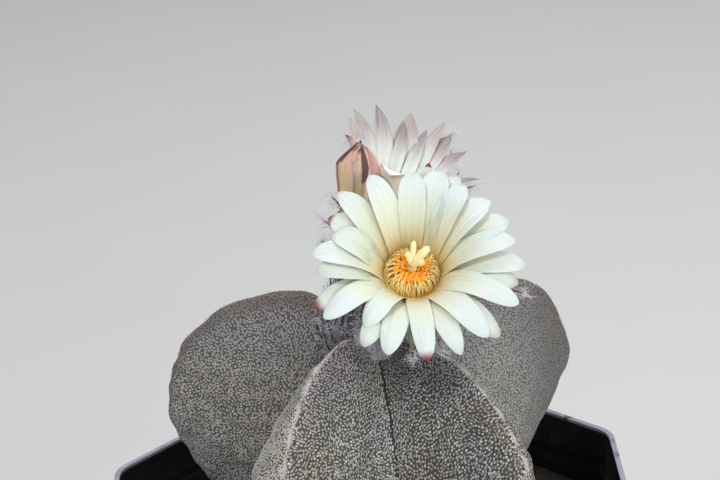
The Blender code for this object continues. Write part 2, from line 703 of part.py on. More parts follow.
def tube_points(flower):
    """The middle line of a flower's tube, from the crown to just under the petals."""
    start = flower["base"]
    end = flower["throat"] + flower["axis"] * TUBE_END
    curve = (start, start + Vector((0, 0, TUBE_HANDLE)), end - flower["axis"] * TUBE_HANDLE, end)
    return [bezier(curve, step / TUBE_STEPS) for step in range(TUBE_STEPS + 1)]


def socket(name, points, radii, cutters):
    """The hole in the crown that a tube stands in."""
    below = (points[0] - points[1]).normalized() * GAP
    line = [points[0] + below] + list(points[1:])
    return as_cutter(tube_solid(name, line, [radius + GAP for radius in radii], cutters))


def add_scales(repeats, points, radii, draw):
    """Small pointed scales in rows round a tube."""
    for row in range(SCALE_ROWS):
        along = SCALE_INSET + row * (len(points) - 2 * SCALE_INSET) / SCALE_ROWS
        index = int(along)
        centre = points[index].lerp(points[index + 1], along - index)
        radius = radii[index] + (radii[index + 1] - radii[index]) * (along - index)
        axis = (points[index + 1] - points[index]).normalized()
        right = axis.orthogonal().normalized()
        far = axis.cross(right)
        for place in range(SCALES_PER_ROW):
            turn = 2 * math.pi * (place + 0.5 * (row % 2)) / SCALES_PER_ROW
            turn += draw.uniform(-SCALE_STRAY, SCALE_STRAY)
            out = right * math.cos(turn) + far * math.sin(turn)
            root = centre + out * (radius - SCALE_WIDTH / 2)
            path = [root, root + axis * SCALE_LENGTH + out * SCALE_LEAN]
            needle("scale_%d_%d" % (row, place), path, [SCALE_WIDTH / 2, SCALE_WIDTH / 8], repeats)


def add_sepals(repeats, flower, sepals):
    """Outer sepals that stand just under the petals, from the tube's rim."""
    widths = [SEPAL_HALF_WIDTH * share for share in SEPAL_WIDTHS]
    for index, (bearing, reach, tip) in enumerate(sepals):
        curve = [Vector(SEPAL_ROOT), Vector(SEPAL_RISE),
                 Vector((SEPAL_BEND[0] * reach * MM, tip * MM + SEPAL_BEND[1])),
                 Vector((reach * MM, tip * MM - SEPAL_TIP_DROP))]
        path = curve_path(flower, bearing, curve, SEPAL_STEPS)
        blade("sepal_%d" % index, path, widths, across_direction(flower, bearing), PETAL_THICKNESS,
              SEPAL_CHANNEL, repeats)


def make_calyx(flower, sepals, parts, cutters):
    """The scaly tube below a flower, its outer sepals, and the recess that the cup stands in."""
    name = flower["name"]
    points = tube_points(flower)
    calyx = tube_solid(name + "_calyx", points, TUBE_RADII, parts)
    socket(name + "_socket", points, TUBE_RADII, cutters)
    repeats = new_collection(name + " scales")
    add_scales(repeats, points, TUBE_RADII, random.Random(SEED))
    add_sepals(repeats, flower, sepals)
    join_repeats(calyx, repeats, "MANIFOLD")
    recess = turned(name + "_recess",
                    ((0, CUP_TOP), (CUP_RADIUS + GAP, CUP_TOP), (CUP_RADIUS + GAP, CUP_SHOULDER - 0.1 * MM),
                     (CUP_TIP + GAP, CUP_BOTTOM - GAP), (0, CUP_BOTTOM - GAP)),
                    flower["throat"], flower["axis"], cutters, FLOWER_SIDES)
    cut(calyx, as_cutter(recess))
    calyx.data.materials.append(material(name + " dark scales", (0.24, 0.17, 0.15), 0.8))
    return calyx


def make_stamens(flower, parts):
    """A ring of filaments that arch in over the throat, with an anther on each tip."""
    name = flower["name"]
    inner, outer = [STAMEN_RING + edge for edge in RING_EDGES]
    bottom, top = [STAMEN_BASE + face for face in RING_FACES]
    ring = turned(name + "_stamens",
                  ((inner, top), (outer, top), (outer, bottom), (inner, bottom), (inner, top)),
                  flower["throat"], flower["axis"], parts, FLOWER_SIDES)
    repeats = new_collection(name + " filaments")
    draw = random.Random(SEED)
    for index in range(STAMEN_COUNT):
        bearing = 360 * index / STAMEN_COUNT + draw.uniform(-3, 3)
        tip = Vector((draw.uniform(*ANTHER_DISTANCES), draw.uniform(*ANTHER_HEIGHTS)))
        curve = [Vector((STAMEN_RING - 0.2 * MM, STAMEN_BASE + 0.8 * MM)),
                 Vector((STAMEN_RING + 0.5 * MM, STAMEN_TOP - 1.6 * MM)),
                 Vector((STAMEN_RING - 0.2 * MM, STAMEN_TOP)), tip]
        path = curve_path(flower, bearing, curve, FILAMENT_STEPS)
        needle("filament_%d" % index, path, [FILAMENT_RADIUS, FILAMENT_RADIUS, ANTHER_RADIUS], repeats)
    join_repeats(ring, repeats, "MANIFOLD")
    ring.data.materials.append(material(name + " orange stamens", (0.85, 0.42, 0.05), 0.6))
    return ring


def make_pistil(flower, parts):
    """The style, which stands on the cup's floor, and its spreading lobes."""
    name = flower["name"]
    foot = flower["throat"] + flower["axis"] * (CUP_FLOOR + GAP)
    top = flower["throat"] + flower["axis"] * STYLE_TOP
    pistil = tube_solid(name + "_pistil", [foot, foot.lerp(top, 0.5), top],
                        [STYLE_FOOT_RADIUS, STYLE_RADIUS, STYLE_RADIUS], parts, 2)
    repeats = new_collection(name + " lobes")
    for index in range(LOBE_COUNT):
        bearing = LOBE_BEARING + 360 * index / LOBE_COUNT
        spread = LOBE_SPREAD * (1.0 if index % 2 else 0.8)
        points = [flower_point(flower, bearing, distance, STYLE_TOP + height) for distance, height in
                  ((0.1 * MM, -0.8 * MM), (0.5 * spread, 0.55 * LOBE_LENGTH), (spread, LOBE_LENGTH))]
        tube_solid("lobe_%d" % index, points, LOBE_RADII, repeats, 1)
    join_repeats(pistil, repeats)
    pistil.data.materials.append(material(name + " pale stigma", (0.90, 0.78, 0.40), 0.5))
    return pistil


def make_bud(parts, cutters):
    """The closed bud: a scaly tube and the petals still wrapped round each other."""
    points = [bezier(BUD_LINE, step / TUBE_STEPS) for step in range(TUBE_STEPS + 1)]
    calyx = tube_solid("bud_calyx", points, BUD_TUBE_RADII, parts)
    socket("bud_socket", points, BUD_TUBE_RADII, cutters)
    repeats = new_collection("bud scales")
    add_scales(repeats, points, BUD_TUBE_RADII, random.Random(SEED))
    join_repeats(calyx, repeats, "MANIFOLD")
    seat = points[-1]
    axis = (BUD_TIP - seat).normalized()
    length = (BUD_TIP - seat).length
    above = 2 * MM
    width = BUD_SEAT + GAP
    recess = turned("bud_recess", ((0, above), (width, above), (width, -BUD_SEAT), (0, -BUD_SEAT)),
                    seat, axis, cutters, 4 * BUD_TEPALS)
    cut(calyx, as_cutter(recess))
    calyx.data.materials.append(material("bud dark scales", (0.26, 0.17, 0.15), 0.8))
    petals = closed_petals("bud_petals", seat, axis, length, parts)
    petals.data.materials.append(material("peach bud petals", (0.78, 0.52, 0.36), 0.5))
    return calyx, petals


def closed_petals(name, seat, axis, length, parts):
    """The wrapped petals: a pointed egg with a fold for each petal, on a round stem."""
    profile = [(-BUD_SEAT + GAP, BUD_SEAT), (GAP, BUD_SEAT)]
    profile += [(along * length, radius * BUD_RADIUS) for along, radius in BUD_OUTLINE]
    right = axis.orthogonal().normalized()
    far = axis.cross(right)
    bm = bmesh.new()
    sides = 4 * BUD_TEPALS
    rows = []
    for height, radius in profile:
        share = max(0.0, height / length)
        row = []
        for side in range(sides):
            turn = 2 * math.pi * side / sides
            wrap = (side / 4 + share * BUD_TWIST) % 1.0
            fold = 1.0 + BUD_FOLD * (0.5 - wrap) * min(1.0, 6 * share)
            outwards = right * math.cos(turn) + far * math.sin(turn)
            row.append(bm.verts.new(seat + axis * height + outwards * radius * fold))
        rows.append(row)
    tip = bm.verts.new(seat + axis * length)
    foot = bm.verts.new(seat + axis * profile[0][0])
    for side in range(sides):
        after = (side + 1) % sides
        bm.faces.new((foot, rows[0][after], rows[0][side]))
        bm.faces.new((tip, rows[-1][side], rows[-1][after]))
        for lower, upper in zip(rows, rows[1:]):
            bm.faces.new((lower[side], lower[after], upper[after], upper[side]))
    return mesh_object(name, bm, parts)


def main():
    clear_scene()
    parts = new_collection("potted bishops cap cactus")
    cutters = new_collection("cutters")
    make_pot(parts, cutters)
    make_soil(parts, cutters)
    for flower, petals, sepals in ((FLOWER_1, PETALS_1, SEPALS_1), (FLOWER_2, PETALS_2, SEPALS_2)):
        make_calyx(flower, sepals, parts, cutters)
        make_petals(flower, petals, parts)
        make_stamens(flower, parts)
        make_pistil(flower, parts)
    make_bud(parts, cutters)
    make_body(parts, cutters)
    for obj in parts.objects:
        obj.data.shade_smooth()
        obj.data.set_sharp_from_angle(angle=math.radians(35))


main()
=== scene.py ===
"""A potted bishop's cap cactus in flower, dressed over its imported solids.

Metres, +Z up. The origin is the middle of the pot's underside, and the plant's front is towards -Y.
"""

import math

import bmesh
import bpy
import numpy as np
from mathutils import Matrix, Vector


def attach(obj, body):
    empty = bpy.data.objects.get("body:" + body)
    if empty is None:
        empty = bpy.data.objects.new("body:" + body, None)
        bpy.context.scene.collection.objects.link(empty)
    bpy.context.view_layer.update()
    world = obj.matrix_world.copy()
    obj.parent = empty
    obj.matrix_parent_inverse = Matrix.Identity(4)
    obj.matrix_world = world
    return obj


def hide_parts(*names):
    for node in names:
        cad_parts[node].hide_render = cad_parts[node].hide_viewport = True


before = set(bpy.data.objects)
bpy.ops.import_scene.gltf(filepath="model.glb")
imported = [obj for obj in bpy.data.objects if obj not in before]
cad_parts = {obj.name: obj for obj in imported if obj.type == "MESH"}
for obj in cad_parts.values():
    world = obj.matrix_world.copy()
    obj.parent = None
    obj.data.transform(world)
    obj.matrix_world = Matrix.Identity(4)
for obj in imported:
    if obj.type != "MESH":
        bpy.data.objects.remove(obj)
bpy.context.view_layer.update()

MM = 0.001
UP = np.array((0.0, 0.0, 1.0))


def mm(*numbers):
    return np.array(numbers) * MM


# Camera, fitted to the pot's rim: degrees, millimetres
CAMERA_PLACE = (6.5, -445.3, 345.0)
CAMERA_PITCH = 22.56
CAMERA_YAW = 0.42
CAMERA_ROLL = 4.56
CAMERA_LENS = 110.0

# Pot and soil
POT_HEIGHT = 95 * MM
SOIL_TOP = POT_HEIGHT - 14.5 * MM
SOIL_REACH = 51.5 * MM
GRIT_COUNT = 1500

# Cactus body: the same curves as the solid has
BODY_X = 5 * MM
APEX_Z = POT_HEIGHT + 40 * MM
NECK = (16.5 * MM, SOIL_TOP + 0.6 * MM)
# The taproot's radius at depths under the neck
ROOT_PROFILE = (mm(15.0, 4), mm(11.0, 10), mm(7.0, 18), mm(3.5, 28))
GROOVE = (26.5 * MM, POT_HEIGHT + 13 * MM)
GROOVE_APEX_HANDLE = (13 * MM, -1.5 * MM)
GROOVE_TOP_HANDLE = (0.0, 15 * MM)
# Ribs: bearing, top of the crest out and up, its widest point out and up, how far the belly hangs, and how
# far the flank after the crest swells. After means clockwise, seen from above
RIBS = (
    (168.0, 17.0 * MM, 52.5 * MM, 50.0 * MM, 23.8 * MM, 0.38, 0.0),
    (93.0, 20.0 * MM, 50.0 * MM, 48.5 * MM, 23.0 * MM, 0.36, 1.5 * MM),
    (20.0, 31.0 * MM, 48.7 * MM, 47.0 * MM, 28.0 * MM, 0.04, 0.0),
    (-51.0, 17.2 * MM, 44.5 * MM, 50.5 * MM, 11.5 * MM, 0.42, 0.0),
    (-119.0, 17.5 * MM, 47.2 * MM, 47.3 * MM, 14.5 * MM, 0.42, 5.2 * MM),
)
# Shares of the crest's middle leg where the swelling begins and is full
BULGE_SPAN = (0.12, 0.82)
BODY_ROWS = (14, 40, 42)
BODY_COLUMNS = 20
AREOLE_SPACING = 6.0 * MM
AREOLE_SHIFT = 0.37
AREOLE_HAIRS = 34
# The notch in the crest at each areole: how deep, how far it reaches along the crest and, as a share of the
# flank, to each side
NOTCH_DEPTH = 0.55 * MM
NOTCH_REACH = 1.7 * MM
NOTCH_WIDTH = 0.16
# How deep the fine line at the bottom of each groove is
GROOVE_CUT = 0.5 * MM
# Soft dents and swellings of the flanks: size and depth
SWELLS = (mm(11, 0.34), mm(5, 0.14))

# Flecks: least distances side by side on the flank, at the crest and in the groove, how many times further
# apart they are end to end, and their sizes
FLECK_SPACINGS = mm(0.50, 0.40, 0.45)
FLECK_STRETCH = 1.3
FLECK_TRIES = 480000
FLECK_WIDTH = 0.56 * MM
FLECK_LENGTHS = mm(0.66, 0.98)
FLECK_HEIGHT = 0.10 * MM
FLECK_DEPTH = -0.04 * MM
# The lines that flecks lie along turn over these distances, by up to about this angle and this much at random
SWIRL_SIZES = mm(19, 9)
SWIRL_TURN = 0.42
SWIRL_SCATTER = 0.15
# How close and how pale flecks are on the flanks before and after each crest, as shares
FLANK_SPACING = ((0.98, 0.98), (1.0, 1.0), (1.0, 0.90), (1.04, 1.04), (1.04, 0.84))
FLANK_PALENESS = ((0.15, 0.15), (0.1, 0.1), (0.1, 0.6), (-0.4, -0.4), (0.0, 1.0))
# How little the skin and its flecks differ on the same flanks, as shares
FLANK_EVENNESS = ((0.4, 0.4), (0.2, 0.2), (0.3, 0.9), (0.0, 0.0), (0.1, 0.25))
# Felt is dense within the first distance of a crest and thins out to the second, in millimetres
CREST_FELT = (0.3, 0.9)
# How far to the right the skin and its flecks begin to meet in one even dark grey-brown, and are wholly so:
# painted shade where the right rib rounds away
RIGHT_EDGE_SHADE = mm(32, 47)
# How far back the ribs' edges begin to be brown, and are wholly so
BACK_RIBS = mm(-6, 4)
# Distances from a crest where its brown edge begins and is full, in millimetres
BROWN_EDGE = (3.4, 1.4)
# Nearest that a fleck comes to a groove's line, and where flecks begin to crowd towards it, in millimetres
GROOVE_CLEAR = 0.36
GROOVE_CROWDED = (5.5, 0.8)

# Flowers: base in the crown, middle of the throat, axis
FLOWERS = {
    "flower_1": ((13.5, -4.5, 134.5), (14.0, -17.0, 161.5), (0.02, -0.62, 0.79)),
    "flower_2": ((7.0, 10.0, 135.5), (12.5, 15.0, 165.0), (0.42, 0.12, 0.90)),
}
# Petals: bearing round the axis from the right, reach, height of the tip over the throat, layer
PETALS = {
    "flower_1": (
        (2, 22.1, 4.2, 0), (15, 22.0, 4.8, 1), (30, 20.0, 6.0, 0), (46, 18.2, 7.0, 0), (56, 19.8, 7.2, 1),
        (65, 18.8, 7.2, 0), (76, 21.3, 6.0, 1), (86, 17.4, 7.4, 0), (100, 14.5, 4.6, 2), (115, 18.8, 7.6, 0),
        (138, 20.7, 6.7, 1), (152, 19.6, 5.6, 2), (165, 17.6, 5.0, 1), (177, 21.1, 4.2, 0),
        (188, 20.8, 3.6, 1), (205, 24.0, 2.0, 2), (214, 23.6, 1.8, 0), (236, 19.0, 0.6, 0),
        (239, 23.0, 0.4, 2), (254, 23.0, 0.2, 1), (273, 24.0, 0.0, 0), (291, 24.6, 0.2, 1),
        (306, 24.4, 0.8, 0), (312, 26.0, 0.8, 2), (328, 25.0, 1.9, 0), (340, 23.6, 2.6, 2),
        (349, 24.3, 3.2, 1),
    ),
    "flower_2": (
        (15, 17.6, 8.0, 0), (32, 13.0, 6.0, 1), (49, 20.3, 11.0, 0), (64, 20.9, 12.4, 0),
        (72, 20.6, 15.3, 1), (80, 18.2, 12.0, 0), (95, 18.9, 14.6, 1), (101, 16.4, 12.4, 0),
        (120, 19.6, 13.6, 0), (145, 18.2, 12.6, 1), (154, 17.0, 11.2, 2), (236, 11.0, 4.6, 1),
        (262, 7.8, 5.2, 1), (296, 14.0, 3.4, 1), (320, 14.5, 4.6, 0), (342, 13.4, 6.2, 1),
    ),
}
# Sepals: bearing, reach, height of the tip
SEPALS = {
    "flower_1": ((10, 19, 2.0), (56.8, 20.8, 8.4), (139, 21.5, 7.2), (152, 21, 5.2),
                 (163, 20, 3.0), (200, 20, -0.6), (230, 19, -2.2), (266, 20.5, -2.4), (283, 20.5, -0.3),
                 (337, 24.8, 2.6)),
    "flower_2": ((19, 18, 8.4), (56, 20, 11.5), (65, 22.2, 15.2), (116, 14, 8.5), (165, 14.4, 9.0),
                 (224, 10, -1.5), (262, 9, -2.5), (308, 12, -0.5)),
}
# Petals on the outside of the upper flower: bearing, reach, height of the tip, half width, how far the foot
# stands to the right, how far the blade is turned about its own length, and its outline's taper
OUTER_PETALS = {
    "pink": (209, 13.0, 8.8, 1.3, 4.9, 0.5, 1.8),
    "beige": (180, 15.4, 8.4, 2.4, 0.8, 0.9, 1.8),
    "front": (247, 10.7, 4.9, 3.7, 0.0, 0.0, 4.0),
}
# The arch of the one whose tip hangs over to the front: distance, height
FRONT_ARCH = mm(7.2, 9.5)
# Bearings of the petals with a red tip, and of the pointed one with the darkest
RED_TIPPED = {"flower_1": (76, 152, 205, 273), "flower_2": (120,)}
RED_POINT = 76
# Petals that are wider or narrower than the rest, as a share
WIDTH_SHARES = {
    "flower_1": {56: 1.15, 65: 1.15, 76: 0.85},
    "flower_2": {64: 1.15, 72: 0.85, 80: 0.7, 95: 1.3, 101: 0.75, 145: 1.15, 236: 1.2, 262: 1.2},
}
PETAL_HALF_WIDTHS = {"flower_1": 3.05 * MM, "flower_2": 2.3 * MM}
# Bearings between which the lower flower's petals hang, and the upper's turn their faces to the front
LOW_PETALS = (200, 345)
TURNED_PETALS = (110, 200)
TURNED_BY = 0.5
# Limits of the numbers that leaf_outline takes: width at the base, widest point, taper and bluntness
PETAL_OUTLINES = {
    "pointed": ((0.60, 0.66), (0.50, 0.60), (1.45, 1.9), (0.78, 0.95)),
    "blade": ((0.70, 0.76), (0.50, 0.60), (2.7, 3.4), (0.60, 0.75)),
    "strip": ((0.80, 0.88), (0.42, 0.52), (3.4, 4.6), (0.50, 0.62)),
}
PETAL_THICKNESS = 0.34 * MM
LEAST_HALF = 0.06 * MM
# Over 1 where the rows of a petal's mesh are closer towards its tip
TIP_CROWDING = 1.7
LAYER_DROP = 0.8 * MM
CUP_RADIUS = 7.0 * MM
CUP_TOP = -4.5 * MM
CUP_FLOOR = -8.6 * MM
TUBE_RADII = mm(4.0, 4.2, 4.8, 5.8, 7.0, 8.2, 8.4)
TUBE_END = -10.8 * MM
# Scales of the flowers' and the bud's tubes
SCALE_ROWS = 10
SCALE_LENGTH = 4.2 * MM
SEPAL_HALF_WIDTH = 1.45 * MM
STAMEN_COUNT = 132
FREE_STAMENS = 33
INNER_ANTHERS = 230
# An anther's radius from end to end, as shares of the greatest
ANTHER_FORM = np.array((0.1, 0.75, 1.0, 1.0, 0.8, 0.1))
STYLE_TOP = -2.0 * MM
# Stigma lobes: bearing, spread, height of the tip over the style's top, thickness
LOBES = ((78, 2.9, 5.5, 0.66), (20, 4.0, 5.0, 0.92), (140, 1.4, 4.0, 0.68), (330, 2.8, 3.7, 0.72))

# Bud: the middle line of its tube, and the tip of the closed petals
BUD_LINE = ((-3.0, -1.5, 133.5), (-6.3, -2.0, 144.0), (3.5, -0.8, 152.0), (1.8, -0.4, 167.0))
BUD_TUBE_RADII = mm(3.8, 3.8, 3.7, 3.6, 3.5, 3.5, 3.6)
BUD_TIP = (5.1, 0.4, 183.0)
BUD_RADIUS = 3.2 * MM
# Along the bud, as shares of its length: its radius as a share, and how far its middle bows to the left
BUD_OUTLINE = ((-0.1, 0.62), (0.0, 0.68), (0.12, 0.76), (0.34, 0.86), (0.5, 0.95), (0.65, 1.0),
               (0.75, 0.74), (0.83, 0.47), (0.91, 0.24), (1.0, 0.02))
BUD_BOW = ((0.0, 0.0), (0.34, 0.57), (0.5, 0.93), (0.66, 1.25), (0.75, 1.05), (0.83, 0.74), (0.91, 0.33),
           (1.0, 0.0))
BUD_WRAPS = 9
# Sepals, and dark red strips against the bud (partly its sepals' dark edges, partly painted shade in the gaps
# beside it): bearing, half width, where they start and end as shares
BUD_SEPALS = ((345, 1.0, -0.05, 0.95),)
BUD_EDGES_AND_GAP_SHADE = ((5, 0.34, 0.64, 0.97), (28, 0.24, 0.70, 0.98), (152, 1.25, 0.46, 0.96))

CROWN_HAIRS = 1900
CROWN_REACH = 8.5 * MM

# Studio: name, place, size, power and colour of each light
LIGHTS = (
    ("key", (-0.34, -0.46, 0.85), 0.34, 3.6, (1.0, 0.985, 0.96)),
    ("front", (0.35, -0.9, 0.35), 0.6, 3.2, (0.97, 0.985, 1.0)),
    ("fill", (0.75, -0.55, 0.5), 0.7, 3.5, (0.94, 0.97, 1.0)),
    ("top", (0.1, 0.45, 0.9), 0.5, 3.1, (0.96, 0.98, 1.0)),
)
LIGHTS_AIM = (0.005, -0.005, 0.13)
WORLD_COLOUR = (0.93, 0.96, 1.0, 1.0)
WORLD_STRENGTH = 0.34
FLOOR_HALF = 6.0

random = np.random.default_rng(7)


# Geometry

def unit(vectors):
    return vectors / np.maximum(np.linalg.norm(vectors, axis=-1, keepdims=True), 1e-12)


def curve(points, t):
    """Points of a cubic curve with four control points, at each t."""
    a, b, c, d = (np.asarray(point, float) for point in points)
    t = np.asarray(t, float)[..., None]
    s = 1.0 - t
    return a * s ** 3 + b * (3 * s * s * t) + c * (3 * s * t * t) + d * t ** 3


def shares(count):
    return np.linspace(0, 1, count)


def smooth(low, high, x):
    t = np.clip((x - low) / (high - low), 0.0, 1.0)
    return t * t * (3 - 2 * t)


def grid_quads(rows, columns, closed=False):
    """The corners of a grid's quads; closed joins the last column to the first."""
    across = columns if closed else columns - 1
    row, column = np.meshgrid(np.arange(rows - 1), np.arange(across), indexing="ij")
    after = (column + 1) % columns
    corners = (row * columns + column, row * columns + after, (row + 1) * columns + after,
               (row + 1) * columns + column)
    return np.stack(corners, -1).reshape(-1, 4)


def add_object(name, data):
    obj = bpy.data.objects.new(name, data)
    bpy.context.scene.collection.objects.link(obj)
    return obj


class Shape:
    """Points, faces and named values of one mesh that is put together from many small ones."""

    def __init__(self):
        self.points = []
        self.faces = []
        self.values = {}
        self.count = 0

    def add(self, points, faces, **values):
        points = np.asarray(points, float).reshape(-1, 3)
        self.points.append(points)
        for corners in faces:
            self.faces.append(np.asarray(corners, np.int64) + self.count)
        for name, value in values.items():
            flat = np.asarray(value, float).reshape(-1)
            self.values.setdefault(name, []).append(np.broadcast_to(flat, len(points)))
        self.count += len(points)

    def mesh(self, name):
        mesh = bpy.data.meshes.new(name)
        points = np.concatenate(self.points)
        mesh.vertices.add(len(points))
        mesh.vertices.foreach_set("co", points.astype(np.float32).ravel())
        corners = np.concatenate([faces.ravel() for faces in self.faces])
        sizes = np.concatenate([np.full(len(faces), faces.shape[1]) for faces in self.faces])
        mesh.loops.add(len(corners))
        mesh.loops.foreach_set("vertex_index", corners.astype(np.int32))
        mesh.polygons.add(len(sizes))
        starts = np.concatenate(([0], np.cumsum(sizes)[:-1]))
        mesh.polygons.foreach_set("loop_start", starts.astype(np.int32))
        for key, parts in self.values.items():
            layer = mesh.attributes.new(key, "FLOAT", "POINT")
            layer.data.foreach_set("value", np.concatenate(parts).astype(np.float32))
        mesh.update(calc_edges=True)
        mesh.validate()
        mesh.shade_smooth()
        return mesh

    def piece(self, name, mat, slot, *nodes):
        """The shape as an object that rides on the part and stands for nodes."""
        obj = add_object(name, self.mesh(name))
        obj.data.materials.append(mat)
        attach(obj, "root")
        if nodes:
            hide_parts(*nodes)
        return obj


def frames(paths):
    """Directions along and square to each path of an (m, n, 3) array, carried along without twist."""
    ahead = unit(np.gradient(paths, axis=1))
    least = np.abs(ahead[:, 0]).argmin(axis=-1)
    side = np.zeros_like(ahead)
    side[:, 0] = unit(np.cross(ahead[:, 0], np.eye(3)[least]))
    for k in range(1, paths.shape[1]):
        last = side[:, k - 1]
        side[:, k] = unit(last - ahead[:, k] * np.sum(last * ahead[:, k], axis=-1, keepdims=True))
    return ahead, side, np.cross(ahead, side)


def add_tubes(shape, paths, radii, sides, **values):
    """Round tubes along an (m, n, 3) array of paths; radii is one row or one for each path."""
    paths = np.asarray(paths, float)
    count, steps = paths.shape[:2]
    radii = np.broadcast_to(np.asarray(radii, float), (count, steps))
    _, side, up = frames(paths)
    turn = np.arange(sides) * 2 * math.pi / sides
    ring = side[:, :, None] * np.cos(turn)[:, None] + up[:, :, None] * np.sin(turn)[:, None]
    points = paths[:, :, None] + ring * radii[:, :, None, None]
    one = grid_quads(steps, sides, closed=True)
    quads = (one[None] + np.arange(count)[:, None, None] * steps * sides).reshape(-1, 4)
    given = {}
    for name, value in values.items():
        value = np.asarray(value, float)
        if value.ndim == 1:
            value = value[:, None]
        given[name] = np.broadcast_to(value[..., None], (count, steps, sides)).reshape(-1)
    shape.add(points, [quads], **given)


def hair_paths(roots, directions, lengths, steps, curl, wander):
    """Curling lines from roots."""
    count = len(roots)
    ahead = unit(directions)
    bend = unit(random.normal(size=(count, 3)))
    points = [roots]
    for _ in range(steps):
        points.append(points[-1] + ahead * (lengths / steps)[:, None])
        ahead = unit(ahead + curl * bend + wander * random.normal(size=(count, 3)))
    return np.stack(points, axis=1)


def add_hairs(shape, roots, directions, lengths, radius, curl=0.25, wander=0.2, steps=5):
    paths = hair_paths(roots, directions, lengths, steps, curl, wander)
    taper = radius * np.linspace(1.0, 0.25, steps + 1)
    add_tubes(shape, paths, taper, 3, tone=random.uniform(size=len(roots)))


def leaf_outline(v, base=0.42, widest=0.5, taper=2.1, blunt=1.0):
    """Half width of a petal from its base to its pointed tip, as a share of the greatest."""
    rising = base + (1 - base) * smooth(0.0, widest, v)
    falling = (1 - np.clip((v - widest) / (1 - widest), 0, 1) ** taper) ** blunt
    return np.where(v < widest, rising, falling)


def both_sides(top, under):
    """Rows across the top of a blade and back along its underside, without its two edges again."""
    return np.concatenate((top, under[:, -2:0:-1]), axis=1)


def add_leaf(shape, path, across, half, lift, thickness, columns=9, ruffle=0.0, crease=0.03, v=None,
             **values):
    """A thin closed blade on a path: half widths, lifted edges, a crease along its middle. v says how far
    along the blade the path's points are, where they aren't evenly spaced."""
    steps = len(path)
    ahead = unit(np.gradient(path, axis=0))
    across = np.broadcast_to(across, path.shape)
    across = unit(across - ahead * np.sum(across * ahead, axis=-1, keepdims=True))
    up = np.cross(ahead, across)
    a = np.sin(np.linspace(-math.pi / 2, math.pi / 2, columns))
    v = shares(steps) if v is None else v
    wave = ruffle * np.sin(2 * math.pi * (2.3 * v[:, None] + random.uniform()) + a * 0.8) * np.abs(a) ** 3
    folds = crease * (np.exp(-(a / 0.16) ** 2) + 0.8 * np.exp(-((np.abs(a) - 0.52) / 0.16) ** 2))
    rise = lift[:, None] * a ** 2 + wave - folds * np.sin(math.pi * np.clip(v, 0, 1))[:, None] ** 0.5
    middle = path[:, None] + across[:, None] * (a * half[:, None])[..., None]
    middle = middle + up[:, None] * (rise * half[:, None])[..., None]
    deep = (thickness * (1 - 0.72 * a ** 2) * np.clip(half / half.max() + 0.25, 0, 1)[:, None])[..., None]
    ring = both_sides(middle + up[:, None] * deep / 2, middle - up[:, None] * deep / 2)
    sides = ring.shape[1]
    quads = grid_quads(steps, sides, closed=True)[:, ::-1]
    last = (steps - 1) * sides
    caps = [np.arange(sides)[None], (last + np.arange(sides))[::-1][None]]
    rows = np.broadcast_to(a, (steps, columns))
    shape.add(ring, [quads, *caps], along=np.repeat(v, sides), across=both_sides(rows, rows),
              under=both_sides(0 * rows, 0 * rows + 1), **values)


# Materials

class Paint:
    """A material's nodes, with short calls for the kinds that the materials here use."""

    def __init__(self, name, roughness, **fixed):
        self.mat = bpy.data.materials.new(name)
        self.mat.use_nodes = True
        self.tree = self.mat.node_tree
        self.shader = self.tree.nodes["Principled BSDF"]
        self.shader.inputs["Roughness"].default_value = roughness
        for socket, value in fixed.items():
            self.shader.inputs[socket.replace("_", " ")].default_value = value
        self.place = self.tree.nodes.new("ShaderNodeTexCoord").outputs["Object"]

    def node(self, kind, inputs, **settings):
        made = self.tree.nodes.new(kind)
        for name, value in settings.items():
            setattr(made, name, value)
        for key, value in inputs.items():
            socket = made.inputs[key]
            if isinstance(value, bpy.types.NodeSocket):
                self.tree.links.new(value, socket)
            elif socket.type == "RGBA":
                socket.default_value = (*value, 1.0)
            else:
                socket.default_value = value
        return made

    def value(self, name):
        return self.node("ShaderNodeAttribute", {}, attribute_name=name).outputs["Fac"]

    def noise(self, scale, detail=2.0, roughness=0.5, place=None):
        inputs = {"Vector": place or self.place, "Scale": scale, "Detail": detail, "Roughness": roughness}
        return self.node("ShaderNodeTexNoise", inputs).outputs["Fac"]

    def stripes(self, across, along):
        """Noise drawn out along each blade; across and along say how fine it is."""
        place = self.node("ShaderNodeCombineXYZ", {"X": self.times(self.value("across"), across),
                                                   "Y": self.times(self.value("along"), along),
                                                   "Z": self.value("kind")})
        return self.noise(1.0, 3.0, 0.6, place.outputs[0])

    def stretch(self, factors):
        return self.node("ShaderNodeMapping", {"Vector": self.place, "Scale": factors}).outputs["Vector"]

    def math(self, operation, a, b=0.0):
        return self.node("ShaderNodeMath", {0: a, 1: b}, operation=operation).outputs["Value"]

    def times(self, a, b):
        return self.math("MULTIPLY", a, b)

    def plus(self, a, b):
        return self.math("ADD", a, b)

    def ramp(self, low, high, x):
        """0 where x is low, 1 where it is high, smooth between."""
        made = self.node("ShaderNodeMapRange", {"Value": x, "From Min": low, "From Max": high},
                         interpolation_type="SMOOTHSTEP")
        return made.outputs["Result"]

    def mix(self, share, a, b, blend_type="MIX"):
        made = self.node("ShaderNodeMix", {"Factor": share}, data_type="RGBA", blend_type=blend_type)
        for socket, colour in ((made.inputs[6], a), (made.inputs[7], b)):
            if isinstance(colour, bpy.types.NodeSocket):
                self.tree.links.new(colour, socket)
            else:
                socket.default_value = (*colour, 1.0)
        return made.outputs[2]

    def axis(self, name):
        """The place along one axis of the part's frame."""
        return self.node("ShaderNodeSeparateXYZ", {"Vector": self.place}).outputs[name]

    def colour(self, socket):
        self.tree.links.new(socket, self.shader.inputs["Base Color"])

    def roughness(self, socket):
        self.tree.links.new(socket, self.shader.inputs["Roughness"])

    def bump(self, height, strength, distance):
        made = self.node("ShaderNodeBump", {"Height": height, "Strength": strength, "Distance": distance})
        self.tree.links.new(made.outputs["Normal"], self.shader.inputs["Normal"])


